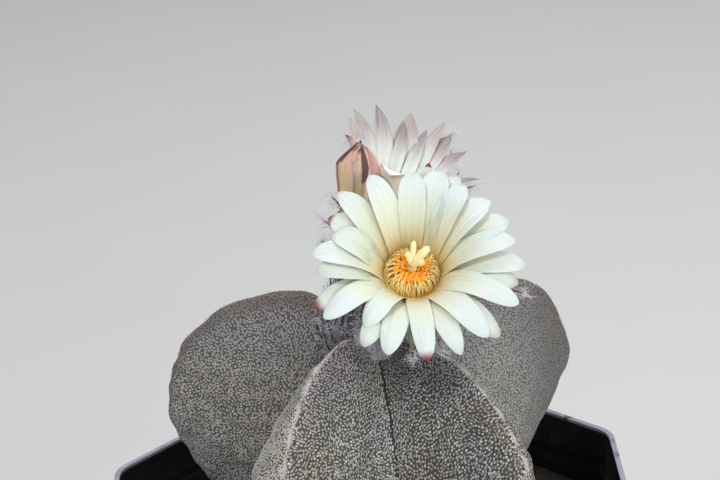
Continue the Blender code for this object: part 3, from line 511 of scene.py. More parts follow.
def brown_edge(paint, crest):
    """How far the edge of a rib at the side or the back is brown, as a share."""
    back = paint.ramp(*BACK_RIBS, paint.axis("Y"))
    return paint.times(back, paint.ramp(*BROWN_EDGE, crest))


def skin_material():
    """Dark olive skin between the flecks, browner beside the crests and felted on them, with painted shade
    along the bottom of each groove and towards the right edge.
    """
    paint = Paint("skin", 0.85)
    crest = paint.value("crest")
    patch = paint.noise(90.0, 3.0)
    grain = paint.noise(2600.0, 3.0, 0.65)
    olive = paint.mix(patch, (0.036, 0.036, 0.030), (0.056, 0.055, 0.045))
    olive = paint.mix(paint.value("even"), olive, (0.14, 0.137, 0.128))
    # Towards the right edge the skin is lifted to an even grey-brown that the darkened flecks meet: painted
    # shade.
    olive = paint.mix(paint.ramp(*RIGHT_EDGE_SHADE, paint.axis("X")), olive, (0.10, 0.094, 0.086))
    beside = paint.times(paint.ramp(0.6, 1.4, crest), paint.ramp(6.5, 2.0, crest))
    beside = paint.times(beside, paint.ramp(0.42, 0.62, paint.noise(110.0, 2.0)))
    beside = paint.times(beside, paint.ramp(-34 * MM, -16 * MM, paint.axis("X")))
    brown = paint.mix(paint.times(beside, 0.6), olive, (0.105, 0.066, 0.050))
    felt = paint.mix(grain, (0.30, 0.27, 0.255), (0.58, 0.54, 0.52))
    edge = brown_edge(paint, crest)
    brown = paint.mix(edge, brown, (0.10, 0.083, 0.075))
    felt = paint.mix(edge, felt, (0.17, 0.142, 0.132))
    ragged = paint.plus(crest, paint.times(grain, 0.9))
    base = paint.mix(paint.ramp(1.15, 0.65, ragged), brown, felt)
    # Near black along the bottom of each groove: painted shade in the crease.
    crease = paint.ramp(0.55, 0.25, paint.value("groove"))
    paint.colour(paint.mix(crease, base, (0.022, 0.021, 0.018)))
    paint.bump(grain, 0.5, 0.00015)
    return paint.mat


def fleck_material():
    """The pale tufts of felt that cover the skin: each its own tone, finer and rosier near the crests."""
    paint = Paint("fleck felt", 0.9)
    tone = paint.value("tone")
    crest = paint.value("crest")
    cool = paint.mix(tone, (0.24, 0.245, 0.25), (0.49, 0.50, 0.515))
    warm = paint.mix(tone, (0.26, 0.24, 0.20), (0.51, 0.475, 0.405))
    flank = paint.mix(paint.ramp(0.34, 0.60, paint.noise(48.0, 2.0)), cool, warm)
    near_crown = paint.ramp(POT_HEIGHT + 33 * MM, POT_HEIGHT + 44 * MM, paint.axis("Z"))
    flank = paint.mix(near_crown, flank, (0.31, 0.31, 0.34))
    flank = paint.mix(paint.times(paint.value("even"), 0.6), flank, (0.31, 0.305, 0.30))
    # Flecks darken towards the right edge: painted shade, matched by the skin.
    far = paint.ramp(*RIGHT_EDGE_SHADE, paint.axis("X"))
    flank = paint.mix(paint.times(far, 0.9), flank, (0.16, 0.150, 0.138))
    felt = paint.mix(tone, (0.36, 0.32, 0.31), (0.62, 0.57, 0.555))
    base = paint.mix(paint.ramp(1.3, 0.6, crest), flank, felt)
    base = paint.mix(paint.times(brown_edge(paint, crest), 0.85), base, (0.17, 0.145, 0.135))
    fibre = paint.noise(5200.0, 2.0, 0.7)
    paint.colour(paint.mix(paint.ramp(0.25, 0.6, fibre), paint.mix(0.3, base, (0.1, 0.09, 0.08)), base))
    paint.bump(fibre, 0.4, 0.00008)
    return paint.mat


def petal_material(name, base, middle, tip, outside, midrib, blush, rib_inside=0.0):
    """Silky petals with fine veins: yellowish base, white tip, tinted outside with a midrib, and painted
    shade on the inner faces of the petals in the deeper layers.
    """
    paint = Paint(name, 0.45, Subsurface_Weight=0.3, Subsurface_Scale=0.0016, Sheen_Weight=0.1,
                  Specular_IOR_Level=0.3)
    along = paint.value("along")
    across = paint.value("across")
    veins = paint.stripes(9.0, 1.6)
    cloud = paint.noise(260.0, 2.0)
    lower = paint.mix(paint.ramp(0.04, 0.42, along), base, middle)
    upper = paint.mix(paint.ramp(0.35, 0.85, along), lower, tip)
    centre = paint.math("SUBTRACT", 1.0, paint.ramp(0.03, 0.40, paint.math("ABSOLUTE", across)))
    inside = paint.mix(paint.times(paint.ramp(0.42, 0.7, veins), 0.35), upper, outside)
    inside = paint.mix(paint.times(centre, rib_inside), inside, midrib)
    # The deeper a petal's layer (outer), the more its inner face turns towards the outside colour: painted
    # shade where it lies under other petals.
    inside = paint.mix(paint.times(paint.value("outer"), 0.35), inside, outside)
    back = paint.mix(paint.ramp(0.1, 0.7, along), middle, outside)
    back = paint.mix(paint.times(centre, 0.35), back, midrib)
    back = paint.mix(paint.times(cloud, 0.3), back, outside)
    both = paint.mix(paint.value("under"), inside, back)
    tipped = paint.times(paint.ramp(0.91, 0.99, along), paint.value("blush"))
    paint.colour(paint.mix(tipped, both, blush))
    paint.bump(veins, 0.7, 0.0003)
    return paint.mat


def scale_material(name, base, middle, tip, dry=(0.5, 0.85)):
    """Papery scales that darken to a dry tip, with fine lines along them; dry is where the tip's colour
    begins and is full."""
    paint = Paint(name, 0.7, Sheen_Weight=0.1)
    along = paint.value("along")
    lines = paint.stripes(6.0, 1.5)
    lower = paint.mix(paint.ramp(0.1, 0.55, along), base, middle)
    ragged = paint.plus(along, paint.times(paint.math("SUBTRACT", lines, 0.5), 0.12))
    upper = paint.mix(paint.ramp(*dry, ragged), lower, tip)
    paint.colour(paint.mix(paint.times(paint.ramp(0.5, 0.75, lines), 0.4), upper, middle))
    paint.bump(lines, 0.5, 0.0002)
    return paint.mat


def two_tone_material(name, first, second, roughness, scale=900.0, **fixed):
    """A mottled surface that also changes from the first colour to the second with each part's tone."""
    paint = Paint(name, roughness, **fixed)
    grain = paint.noise(scale, 3.0, 0.6)
    share = paint.plus(paint.times(paint.value("tone"), 0.75), paint.times(grain, 0.25))
    paint.colour(paint.mix(share, first, second))
    paint.bump(grain, 0.3, 0.0001)
    return paint.mat


def pot_material():
    """Glossy black moulded plastic: fine ripple, dust and scratches, and a patchy grey-blue rim that is
    partly rubbed wear and partly a painted highlight along its edge.
    """
    paint = Paint("black plastic", 0.2, Coat_Weight=0.3, Coat_Roughness=0.12)
    height = paint.axis("Z")
    ripple = paint.noise(220.0, 2.0)
    scratch = paint.noise(1.0, 4.0, 0.7, paint.stretch((700.0, 700.0, 60.0)))
    dust = paint.ramp(0.52, 0.8, paint.noise(130.0, 5.0, 0.7))
    # Patches along the rim's top millimetre turn grey-blue: partly rubbed wear, partly a painted highlight
    # along the glossy edge.
    rim_patches = paint.noise(170.0, 4.0, 0.7)
    rubbed_and_highlit_rim = paint.ramp(POT_HEIGHT - 1.1 * MM, POT_HEIGHT - 0.15 * MM, height)
    rubbed_and_highlit_rim = paint.times(rubbed_and_highlit_rim, paint.ramp(0.24, 0.52, rim_patches))
    body = paint.mix(paint.times(dust, 0.12), (0.010, 0.010, 0.011), (0.09, 0.085, 0.08))
    paint.colour(paint.mix(paint.times(rubbed_and_highlit_rim, 0.9), body, (0.40, 0.42, 0.49)))
    rough = paint.plus(0.16, paint.times(dust, 0.22))
    rough = paint.plus(rough, paint.times(paint.ramp(0.55, 0.8, scratch), 0.12))
    paint.roughness(paint.plus(rough, paint.times(rubbed_and_highlit_rim, 0.25)))
    paint.bump(paint.plus(ripple, paint.times(scratch, 0.25)), 0.12, 0.0006)
    return paint.mat


def soil_material():
    """Near-black mineral soil with brown crumbs."""
    paint = Paint("soil", 0.95)
    crumbs = paint.noise(900.0, 5.0, 0.7)
    patches = paint.noise(120.0, 3.0)
    dark = paint.mix(patches, (0.012, 0.010, 0.008), (0.030, 0.022, 0.016))
    paint.colour(paint.mix(paint.ramp(0.45, 0.75, crumbs), dark, (0.075, 0.055, 0.040)))
    paint.bump(crumbs, 1.0, 0.0008)
    return paint.mat


def floor_material():
    paint = Paint("pale floor", 0.75)
    mottle = paint.noise(14.0, 3.0)
    near = paint.mix(mottle, (0.70, 0.69, 0.675), (0.74, 0.73, 0.715))
    distance = paint.node("ShaderNodeVectorMath", {0: paint.place}, operation="LENGTH").outputs["Value"]
    paint.colour(paint.mix(paint.ramp(0.3, 1.8, distance), near, (0.93, 0.93, 0.92)))
    return paint.mat


# Cactus body

def crest_at(rib, leg, t):
    """A crest's distance from the body's axis and its height, on one of its three legs."""
    _, top_out, top_up, reach, reach_up, belly, _ = rib
    top = np.array((top_out, POT_HEIGHT + top_up))
    widest = np.array((reach, POT_HEIGHT + reach_up))
    if leg == 0:
        return curve(((0, APEX_Z), (0.43 * top_out, APEX_Z - 1.5 * MM), (0.45 * top_out, top[1]), top), t)
    if leg == 1:
        bow = 0.56
        over = widest + (0, bow * (top[1] - widest[1]))
        return curve((top, top + (bow * (reach - top_out), 0), over, widest), t)
    neck = np.array(NECK)
    return curve((widest, widest - (0, belly * (widest[1] - neck[1])),
                  neck + (0.45 * (reach - neck[0]), 5.5 * MM), neck), t)


def flank_bulge(rib, leg, t):
    """How far the flank after a crest swells sideways, at its fullest between crest and groove."""
    start, full = BULGE_SPAN
    if leg == 2:
        return rib[6] * (1 - t)
    share = min(1.0, max(0.0, (t - start) / (full - start))) if leg == 1 else 0.0
    return rib[6] * share * share * (3 - 2 * share)


def groove_at(leg, t):
    """The groove's distance from the axis and its height, level with a crest's legs."""
    apex = np.array((0, APEX_Z))
    widest = np.array(GROOVE)
    if leg < 2:
        return curve((apex, apex + GROOVE_APEX_HANDLE, widest + GROOVE_TOP_HANDLE, widest), (leg + t) / 2)
    neck = np.array(NECK)
    return curve((widest, widest - (0, 12 * MM), neck + (2.5 * MM, 6 * MM), neck), t)


def body_steps():
    steps = [(leg, step / count) for leg, count in enumerate(BODY_ROWS) for step in range(count)]
    return steps[1:] + [(2, 1.0)]


def crest_lengths():
    """How far along its crest each row of each rib lies, from the apex."""
    lengths = []
    for rib in RIBS:
        line = np.array([crest_at(rib, leg, t) for leg, t in body_steps()])
        runs = np.linalg.norm(np.diff(line, axis=0), axis=1)
        lengths.append(np.concatenate(([0.0], np.cumsum(runs))))
    return np.array(lengths)


def crest_marks():
    """How many areoles lie between the apex and each row of each rib."""
    return crest_lengths() / AREOLE_SPACING + AREOLE_SHIFT * np.arange(len(RIBS))[:, None]


def body_grid():
    """The star-shaped body row by row from the crown down: points, millimetres from the crest and from the
    groove."""
    marks = crest_marks()
    rows, crests, grooves = [], [], []
    for row, (leg, t) in enumerate(body_steps()):
        ring, crest_row, groove_row = [], [], []
        fade = min(1.0, t + leg) ** 2 if leg < 2 else 1.0 - t ** 4
        groove = groove_at(leg, t)
        for index, rib in enumerate(RIBS):
            left = ((RIBS[index - 1][0] - rib[0]) % 360) / 2
            right = ((rib[0] - RIBS[(index + 1) % len(RIBS)][0]) % 360) / 2
            column = np.arange(-BODY_COLUMNS, BODY_COLUMNS)
            u = np.abs(column) / BODY_COLUMNS
            half = np.radians(np.where(column < 0, left, right))
            side = np.where(column < 0, -1, 1)
            crest = crest_at(rib, leg, t)
            from_areole = abs(marks[index][row] % 1.0 - 0.5) * AREOLE_SPACING
            notch = NOTCH_DEPTH * math.exp(-(from_areole / NOTCH_REACH) ** 2) * fade
            out = crest[0] - (crest[0] - groove[0] * np.cos(half)) * u ** 2
            out = out - notch * np.exp(-(u / NOTCH_WIDTH) ** 2)
            across = groove[0] * np.sin(half) * (0.5 * u + 0.5 * u * u)
            across = across + np.where(column > 0, flank_bulge(rib, leg, t), 0.0) * np.sin(math.pi * u)
            off_groove = (out - groove[0] * np.cos(half), across - groove[0] * np.sin(half))
            groove_row.append(np.hypot(*off_groove) / MM)
            out = out - np.where(u > 0.999, GROOVE_CUT * fade, 0.0)
            height = crest[1] + (groove[1] - crest[1]) * u ** 1.7
            turn = math.radians(rib[0])
            radial = np.array((math.cos(turn), math.sin(turn), 0))
            sideways = np.array((math.sin(turn), -math.cos(turn), 0))
            points = np.outer(out, radial) + np.outer(across * side, sideways) + np.outer(height, UP)
            ring.append(points + (BODY_X, 0, 0))
            crest_row.append(np.hypot(out - crest[0], across) / MM)
        rows.append(np.concatenate(ring))
        crests.append(np.concatenate(crest_row))
        grooves.append(np.concatenate(groove_row))
    return np.array(rows), np.array(crests), np.array(grooves)


def grid_normals(points):
    """Outward normals of the closed grid."""
    down = np.gradient(points, axis=0)
    round_it = (np.roll(points, -1, axis=1) - np.roll(points, 1, axis=1)) / 2
    return unit(np.cross(round_it, down))


def roughen(points, normals):
    """Soft dents and swellings over the flanks, fading towards the crown and the neck."""
    rows = points.shape[0]
    fade = np.sin(np.linspace(0, math.pi, rows))[:, None, None]
    swell = np.zeros(points.shape[:2])
    for size, depth in SWELLS:
        for _ in range(5):
            wave = unit(random.normal(size=3)) * 2 * math.pi / size
            swell += depth / 2 * np.sin(points @ wave + random.uniform(0, 6))
    return points + normals * swell[..., None] * fade


def by_column(shares_of_flanks):
    """A number for each flank, repeated for each of the grid's columns."""
    return np.repeat(np.array(shares_of_flanks).ravel(), BODY_COLUMNS)


def make_body():
    """The skin from the crown to the foot of the taproot. Returns its grid down to the neck, and how far each
    point is from the crest and from the groove."""
    points, crest, groove = body_grid()
    points = roughen(points, grid_normals(points))
    rows, columns = points.shape[:2]
    shape = Shape()
    neck = points[-1]
    root = []
    for radius, depth in ROOT_PROFILE:
        ring = neck * (radius / NECK[0])
        ring = ring + (BODY_X * (1 - radius / NECK[0]), 0, 0)
        ring[:, 2] = NECK[1] - depth
        root.append(ring)
    deep = len(root)
    every = np.concatenate((points, root))
    apex = (BODY_X, 0, APEX_Z)
    foot = (BODY_X, 0, NECK[1] - ROOT_PROFILE[-1][1])
    count = (rows + deep) * columns
    all_points = np.concatenate((every.reshape(-1, 3), [apex], [foot]))
    column = np.arange(columns)
    after = (column + 1) % columns
    low = (rows + deep - 1) * columns
    top = np.stack((np.full(columns, count), column, after), -1)
    bottom = np.stack((np.full(columns, count + 1), low + after, low + column), -1)
    quads = grid_quads(rows + deep, columns, closed=True)[:, ::-1]
    pad = np.full(deep * columns + 2, 2.0)
    even = np.tile(by_column(FLANK_EVENNESS), rows)
    shape.add(all_points, [quads, top, bottom], crest=np.concatenate((crest.ravel(), pad)),
              groove=np.concatenate((groove.ravel(), pad)), even=np.concatenate((even, 0 * pad)))
    shape.piece("cactus_skin", skin_material(), "skin", "cactus_body")
    return points, crest, groove


def scatter(points, crest, groove, tries):
    """Places spread evenly over the skin, no two closer than the distance asked for there: where they are,
    the skin's direction, the way to lie, millimetres from the crest and the grid's column."""
    normals = grid_normals(points)
    rows, columns = points.shape[:2]
    after = (np.arange(columns) + 1) % columns
    down = points[1:] - points[:-1]
    beside = points[:, after] - points
    area = np.linalg.norm(np.cross(down, beside[:-1]), axis=-1)
    groovy = smooth(*GROOVE_CROWDED, groove)
    flank, ridge, crease = FLECK_SPACINGS
    felt = 1 - smooth(*CREST_FELT, crest)
    spacing = flank + (ridge - flank) * felt + (crease - flank) * groovy * (1 - felt)
    spacing = spacing * by_column(FLANK_SPACING)
    weight = area / spacing[:-1] ** 2
    weight[points[:-1, :, 2] < SOIL_TOP] = 0
    cells = random.choice(weight.size, size=tries, p=weight.ravel() / weight.sum())
    row, column = np.divmod(cells, columns)
    s = random.uniform(size=tries)
    t = random.uniform(size=tries)

    def at(values):
        """The grid's values at each place, between the four corners of its cell."""
        spread = (slice(None),) + (None,) * (values.ndim - 2)
        down_share, side_share = s[spread], t[spread]
        low = values[row, column] * (1 - side_share) + values[row, after[column]] * side_share
        high = values[row + 1, column] * (1 - side_share) + values[row + 1, after[column]] * side_share
        return low * (1 - down_share) + high * down_share

    places = at(points)
    faces = unit(at(normals))
    along = swirl(places, faces, unit(at(down[np.minimum(np.arange(rows), rows - 2)])))
    kept = thin_out(places, at(spacing), along)
    kept = kept[at(groove)[kept] > GROOVE_CLEAR]
    return places[kept], faces[kept], along[kept], at(crest)[kept], column[kept]


def swirl(places, normals, down):
    """Directions round the body that turn slowly over the skin, for the flecks to lie along."""
    turn = random.normal(0, SWIRL_SCATTER, len(places))
    for size in SWIRL_SIZES:
        for _ in range(3):
            wave = unit(random.normal(size=3)) * 2 * math.pi / size
            turn += SWIRL_TURN * np.sin(places @ wave + random.uniform(0, 6))
    beside = unit(np.cross(normals, down))
    return unit(beside * np.cos(turn)[:, None] + np.cross(normals, beside) * np.sin(turn)[:, None])


def thin_out(places, needed, along):
    """Keeps each place in turn that is no nearer to a kept one than it needs, and further off end to end."""
    cell = needed.max() * FLECK_STRETCH
    less = 1 - 1 / FLECK_STRETCH ** 2
    directions = along.tolist()
    keys = np.floor(places / cell).astype(int).tolist()
    spots = places.tolist()
    needs = (needed ** 2).tolist()
    grid = {}
    kept = []
    near = [(i, j, k) for i in (-1, 0, 1) for j in (-1, 0, 1) for k in (-1, 0, 1)]
    for index, (kx, ky, kz) in enumerate(keys):
        x, y, z = spots[index]
        ax, ay, az = directions[index]
        need = needs[index]
        for i, j, k in near:
            for px, py, pz in grid.get((kx + i, ky + j, kz + k), ()):
                dx, dy, dz = px - x, py - y, pz - z
                if dx * dx + dy * dy + dz * dz - less * (dx * ax + dy * ay + dz * az) ** 2 < need:
                    break
            else:
                continue
            break
        else:
            grid.setdefault((kx, ky, kz), []).append((x, y, z))
            kept.append(index)
    return np.array(kept)


def make_flecks(points, crest, groove):
    """Small raised tufts over the whole skin, longer along slowly turning lines, a piece for each rib."""
    places, normals, along, near_crest, column = scatter(points, crest, groove, FLECK_TRIES)
    count = len(places)
    over = np.cross(normals, along)
    shrink = 0.62 + 0.38 * smooth(*CREST_FELT, near_crest)
    length = random.uniform(*FLECK_LENGTHS, count) * shrink
    width = FLECK_WIDTH * random.uniform(0.85, 1.15, count) * shrink
    high = FLECK_HEIGHT * random.uniform(0.8, 1.25, count)
    corners = ((-0.5, 0, 0), (-0.27, 0.5, 0), (0.27, 0.5, 0), (0.5, 0, 0), (0.27, -0.5, 0), (-0.27, -0.5, 0),
               (-0.24, 0, 1), (0.24, 0, 1))
    tufts = np.stack([places + along * (a * length)[:, None] + over * (b * width)[:, None]
                      + normals * np.where(top, high, FLECK_DEPTH)[:, None] for a, b, top in corners], axis=1)
    pale = by_column(FLANK_PALENESS)[column]
    tone = pale + (1 - pale) * random.uniform(size=count)
    even = by_column(FLANK_EVENNESS)[column]
    tris = np.array(((0, 6, 1), (0, 5, 6), (3, 2, 7), (3, 7, 4)))[:, ::-1]
    quads = np.array(((1, 6, 7, 2), (4, 7, 6, 5)))[:, ::-1]
    mat = fleck_material()
    rib = column // (2 * BODY_COLUMNS)
    for index in range(len(RIBS)):
        mine = np.flatnonzero(rib == index)
        start = np.arange(len(mine))[:, None, None] * len(corners)
        shape = Shape()
        values = {"tone": tone, "crest": near_crest, "even": even}
        shape.add(tufts[mine], [(tris[None] + start).reshape(-1, 3), (quads[None] + start).reshape(-1, 4)],
                  **{key: np.repeat(value[mine], len(corners)) for key, value in values.items()})
        shape.piece("flecks_rib_%d" % (index + 1), mat, "skin")


def make_areoles(points):
    """A felt cushion in each notch of the crests."""
    normals = grid_normals(points)
    shape = Shape()
    for index, marks in enumerate(crest_marks()):
        column = index * 2 * BODY_COLUMNS + BODY_COLUMNS
        for number in range(int(marks[0]) + 1, int(marks[-1]) + 1):
            row = int(np.abs(marks - number - 0.5).argmin())
            place = points[row, column]
            if place[2] < SOIL_TOP + 2 * MM or row < BODY_ROWS[0] + 3:
                continue
            roots = place + random.normal(0, 0.28 * MM, (AREOLE_HAIRS, 3))
            add_hairs(shape, roots - normals[row, column] * 0.35 * MM,
                      normals[row, column] * 0.5 + random.normal(0, 0.9, (AREOLE_HAIRS, 3)),
                      random.uniform(0.25, 0.45, AREOLE_HAIRS) * MM, 0.09 * MM, steps=3)
    felt = two_tone_material("areole felt", (0.30, 0.26, 0.24), (0.55, 0.50, 0.46), 0.9)
    shape.piece("areole_felt", felt, "skin")


# Flowers

def flower_axes(name):
    base, throat, axis = (np.array(numbers) for numbers in FLOWERS[name])
    axis = unit(axis)
    right = np.array((1.0, 0, 0))
    right = unit(right - axis * (right @ axis))
    return base * MM, throat * MM, right, np.cross(axis, right), axis


def flower_line(name, bearing, profile):
    """Points at the distances and heights of profile, on one bearing round a flower's axis."""
    _, throat, right, far, axis = flower_axes(name)
    turn = math.radians(bearing)
    out = right * math.cos(turn) + far * math.sin(turn)
    return throat + np.outer(profile[:, 0], out) + np.outer(profile[:, 1], axis)


def across_of(name, bearing):
    _, _, right, far, _ = flower_axes(name)
    turn = math.radians(bearing)
    return far * math.cos(turn) - right * math.sin(turn)


def hangs(name, bearing):
    return name == "flower_1" and LOW_PETALS[0] < bearing < LOW_PETALS[1]


def petal_line(name, bearing, reach, tip, layer, v, arch=None):
    """A petal's middle line: up the funnel's wall, over in an arch and out; deeper layers lie under it."""
    if arch is None and name == "flower_2":
        arch = (0.64 * reach, 0.72 * tip + 0.8 * MM)
    elif arch is None:
        arch = (0.62 * reach, tip + 4.2 * MM) if hangs(name, bearing) else (0.66 * reach, tip + 2.6 * MM)
    foot = (5.8 * MM, CUP_TOP - 3.0 * MM)
    wall = (CUP_RADIUS + 1.2 * MM, CUP_TOP + 3.8 * MM + 0.25 * tip)
    line = curve((foot, wall, arch, (reach, tip)), v)
    ahead = unit(np.gradient(line, axis=0))
    under = np.stack((ahead[:, 1], -ahead[:, 0]), -1)
    drop = LAYER_DROP * layer * np.interp(v, (0, 0.25, 0.6, 1), (0.25, 0.8, 1.0, 0.6))
    return flower_line(name, bearing, line + under * drop[:, None])


def blush_of(name, bearing, layer):
    """How red a petal's tip is, as a share of its reddest colour or over it."""
    if bearing == RED_POINT:
        return 2.5
    return 1.0 if bearing in RED_TIPPED[name] else 0.12 * layer


def make_petals(name, mat, steps=22):
    """A flower's petals, each on its own line and with an outline of its own."""
    shape = Shape()
    v = 1 - (1 - shares(steps)) ** TIP_CROWDING
    pointed = name == "flower_2"
    for index, (bearing, reach, tip, layer) in enumerate(PETALS[name]):
        path = petal_line(name, bearing, reach * MM, tip * MM, layer, v)
        across = across_of(name, bearing)
        path = path + np.outer((v ** 2) * random.normal(0, (0.15 if pointed else 0.35) * MM), across)
        ahead = unit(np.gradient(path, axis=0))
        facing = TURNED_PETALS[0] < bearing < TURNED_PETALS[1] and pointed
        twist = (random.normal(0, 0.06) - (TURNED_BY if facing else 0.0)) * v
        tilted = across * np.cos(twist)[:, None] + np.cross(ahead, across) * np.sin(twist)[:, None]
        low = hangs(name, bearing)
        kind = "pointed" if pointed or bearing == RED_POINT else "strip" if low else "blade"
        outline = [random.uniform(*limits) for limits in PETAL_OUTLINES[kind]]
        half = PETAL_HALF_WIDTHS[name] * random.uniform(0.92, 1.06) * (0.88 if low else 1.0)
        half = half * WIDTH_SHARES[name].get(bearing, 1.0) * leaf_outline(v, *outline)
        end_lift = -0.30 if low else random.uniform(-0.15, 0.05)
        lift = np.interp(v, (0, 0.45, 1), (0.30 if layer == 0 else 0.1, 0.05 if low else 0.16, end_lift))
        # outer grows with the layer and paints shade on petals that lie under others.
        add_leaf(shape, path, tilted, np.maximum(half, LEAST_HALF), lift, PETAL_THICKNESS, columns=17, v=v,
                 ruffle=random.uniform(0, 0.05), crease=0.05, blush=blush_of(name, bearing, layer),
                 kind=index * 3.7, outer=0.5 * layer)
    shape.piece(name + "_blades", mat, "petals", name + "_petals")


def outward(name, turn):
    """Directions square to a flower's axis, at each turn round it."""
    _, _, right, far, _ = flower_axes(name)
    return np.outer(np.cos(turn), right) + np.outer(np.sin(turn), far)


def make_throat(name, mat, sides=40):
    """The funnel that the petals and the stamens grow from, turned round the flower's axis."""
    shape = Shape()
    profile = np.array(((0.01 * MM, CUP_FLOOR), (4.4 * MM, CUP_FLOOR), (5.1 * MM, CUP_FLOOR + 1.0 * MM),
                        (5.6 * MM, CUP_TOP - 1.9 * MM), (5.9 * MM, CUP_TOP - 1.6 * MM),
                        (7.4 * MM, CUP_TOP - 2.4 * MM), (7.4 * MM, CUP_TOP - 3.2 * MM),
                        (CUP_RADIUS, CUP_FLOOR - 1.2 * MM), (CUP_RADIUS - 1.5 * MM, CUP_FLOOR - 2.6 * MM),
                        (0.01 * MM, CUP_FLOOR - 3.6 * MM)))
    _, throat, _, _, axis = flower_axes(name)
    out = outward(name, np.arange(sides) * 2 * math.pi / sides)
    points = throat + profile[:, None, :1] * out + profile[:, None, 1:] * axis
    shape.add(points, [grid_quads(len(profile), sides, closed=True)], tone=0.5)
    shape.piece(name + "_throat", mat, "petals", name + "_petals")


def make_stamens(name, filament_mat, anther_mat):
    """Fine filaments that rise from the funnel's wall and arch in, and their crowded anthers."""
    _, throat, _, _, axis = flower_axes(name)
    filaments = Shape()
    anthers = Shape()
    t = shares(9)
    paths = []
    ends = []
    for index in range(STAMEN_COUNT):
        bearing = 360 * index * 0.61803 + random.normal(0, 2)
        start = np.array((5.6 * MM, CUP_FLOOR + random.uniform(1.6, 2.6) * MM))
        tip = np.array((random.uniform(1.9, 3.9), random.uniform(-4.4, -2.7))) * MM
        bulge = random.uniform(-0.6, 0.5) * MM
        profile = curve((start, start + (bulge, 2.4 * MM), tip + mm(1.8, 0.9), tip), t)
        path = flower_line(name, bearing, profile)
        path += np.outer(t ** 2 * random.normal(0, 0.9 * MM), across_of(name, bearing))
        paths.append(path)
        ends.append((path[-1], path[-1] - path[-2]))
    for index in range(FREE_STAMENS):
        bearing = 360 * index / FREE_STAMENS + random.normal(0, 6)
        start = np.array((5.6 * MM, CUP_FLOOR + 2.4 * MM))
        tip = start + np.array((random.uniform(-2.2, -0.6), random.uniform(1.4, 2.9))) * MM
        profile = curve((start, start + mm(0.7, 1.2), tip + mm(0.9, 0.5), tip), t)
        paths.append(flower_line(name, bearing, profile))
    radii = np.interp(t, (0, 0.8, 1), (0.098, 0.084, 0.055)) * MM
    tone = random.uniform(size=len(paths))
    add_tubes(filaments, paths, radii, 5, tone=tone)
    filaments.piece(name + "_filaments", filament_mat, "stamens", name + "_stamens")

    def add_anther(place, length, way, radius):
        line = place + np.outer(np.linspace(-0.5, 0.5, len(ANTHER_FORM)) * length, way)
        add_tubes(anthers, line[None], ANTHER_FORM * radius * MM, 6, tone=random.uniform())

    for place, ahead in ends:
        way = unit(unit(ahead) + random.normal(0, 0.6, 3))
        length = random.uniform(0.9, 1.4) * MM
        add_anther(place, length, way, random.uniform(0.28, 0.40))
    out = outward(name, random.uniform(0, 2 * math.pi, INNER_ANTHERS))
    distance = random.uniform(1.3, 3.9, INNER_ANTHERS) * MM
    height = random.uniform(-4.9, -3.2, INNER_ANTHERS)
    for place in throat + out * distance[:, None] + axis * height[:, None] * MM:
        add_anther(place, 1.3 * MM, unit(axis + random.normal(0, 0.5, 3)), 0.36)
    anthers.piece(name + "_anthers", anther_mat, "stamens", name + "_stamens")


def make_pistil(name, mat):
    """The style and its thick, blunt lobes."""
    shape = Shape()
    rise = np.linspace(CUP_FLOOR + 0.2 * MM, STYLE_TOP + 0.5 * MM, 7)
    line = flower_line(name, 0, np.stack((np.zeros(7), rise), -1))
    add_tubes(shape, line[None], np.linspace(1.2, 0.95, 7) * MM, 14, tone=0.35)
    t = shares(12)
    blunt = np.interp(t, (0, 0.3, 0.75, 0.92, 0.98, 1.0), (0.85, 0.9, 1.0, 0.9, 0.5, 0.05)) * MM
    top = STYLE_TOP - 0.9 * MM
    for bearing, spread, height, thick in LOBES:
        bend = (0.55 * spread * MM, STYLE_TOP + 0.6 * height * MM)
        end = (spread * MM, STYLE_TOP + height * MM)
        profile = curve(((0.1 * MM, top), (0.3 * MM, top + 1.6 * MM), bend, end), t)
        add_tubes(shape, flower_line(name, bearing, profile)[None], blunt * thick, 12, tone=0.9)
    shape.piece(name + "_style", mat, "pistil", name + "_pistil")


def tube_line(name):
    base, throat, _, _, axis = flower_axes(name)
    end = throat + axis * TUBE_END
    return curve((base - UP * 1.5 * MM, base + UP * 8 * MM, end - axis * 8 * MM, end), shares(24))


def add_tube_scales(shape, line, radii, per_row, width):
    """Narrow pointed scales that lie up the tube, row over row. Returns where each one is rooted."""
    ahead, side, up = (part[0] for part in frames(line[None]))
    roots = []
    v = shares(7)
    for row in range(SCALE_ROWS):
        at = (row + 0.6) / SCALE_ROWS * 0.92
        index = min(int(at * (len(line) - 1)), len(line) - 2)
        radius = np.interp(at, shares(len(radii)), radii)
        for number in range(per_row):
            turn = 2 * math.pi * (number + 0.5 * (row % 2)) / per_row + random.normal(0, 0.12)
            out = side[index] * math.cos(turn) + up[index] * math.sin(turn)
            across = np.cross(ahead[index], out)
            root = line[index] + out * (radius - 0.2 * MM)
            reach = SCALE_LENGTH * random.uniform(0.8, 1.25)
            lean = random.uniform(0.0, 0.28)
            path = root + np.outer(v * reach, ahead[index])
            path = path + np.outer((0.25 * v + lean * v ** 2) * reach * 0.6, out)
            half = width / 2 * random.uniform(0.8, 1.15) * leaf_outline(v, base=0.8, widest=0.2, taper=1.2)
            add_leaf(shape, path, across, np.maximum(half, 0.05 * MM), np.full(len(v), 0.25), 0.22 * MM,
                     columns=5, kind=random.uniform(0, 50))
            roots.append((root, out, ahead[index]))
    return roots


def add_wool(shape, roots, each, lengths, radius, spread=0.7, lift=0.8):
    for root, out, ahead in roots:
        places = root + random.normal(0, 0.55 * MM, (each, 3))
        directions = out + lift * ahead + random.normal(0, spread, (each, 3))
        add_hairs(shape, places, directions, random.uniform(*lengths, each), radius, curl=0.3, wander=0.3)


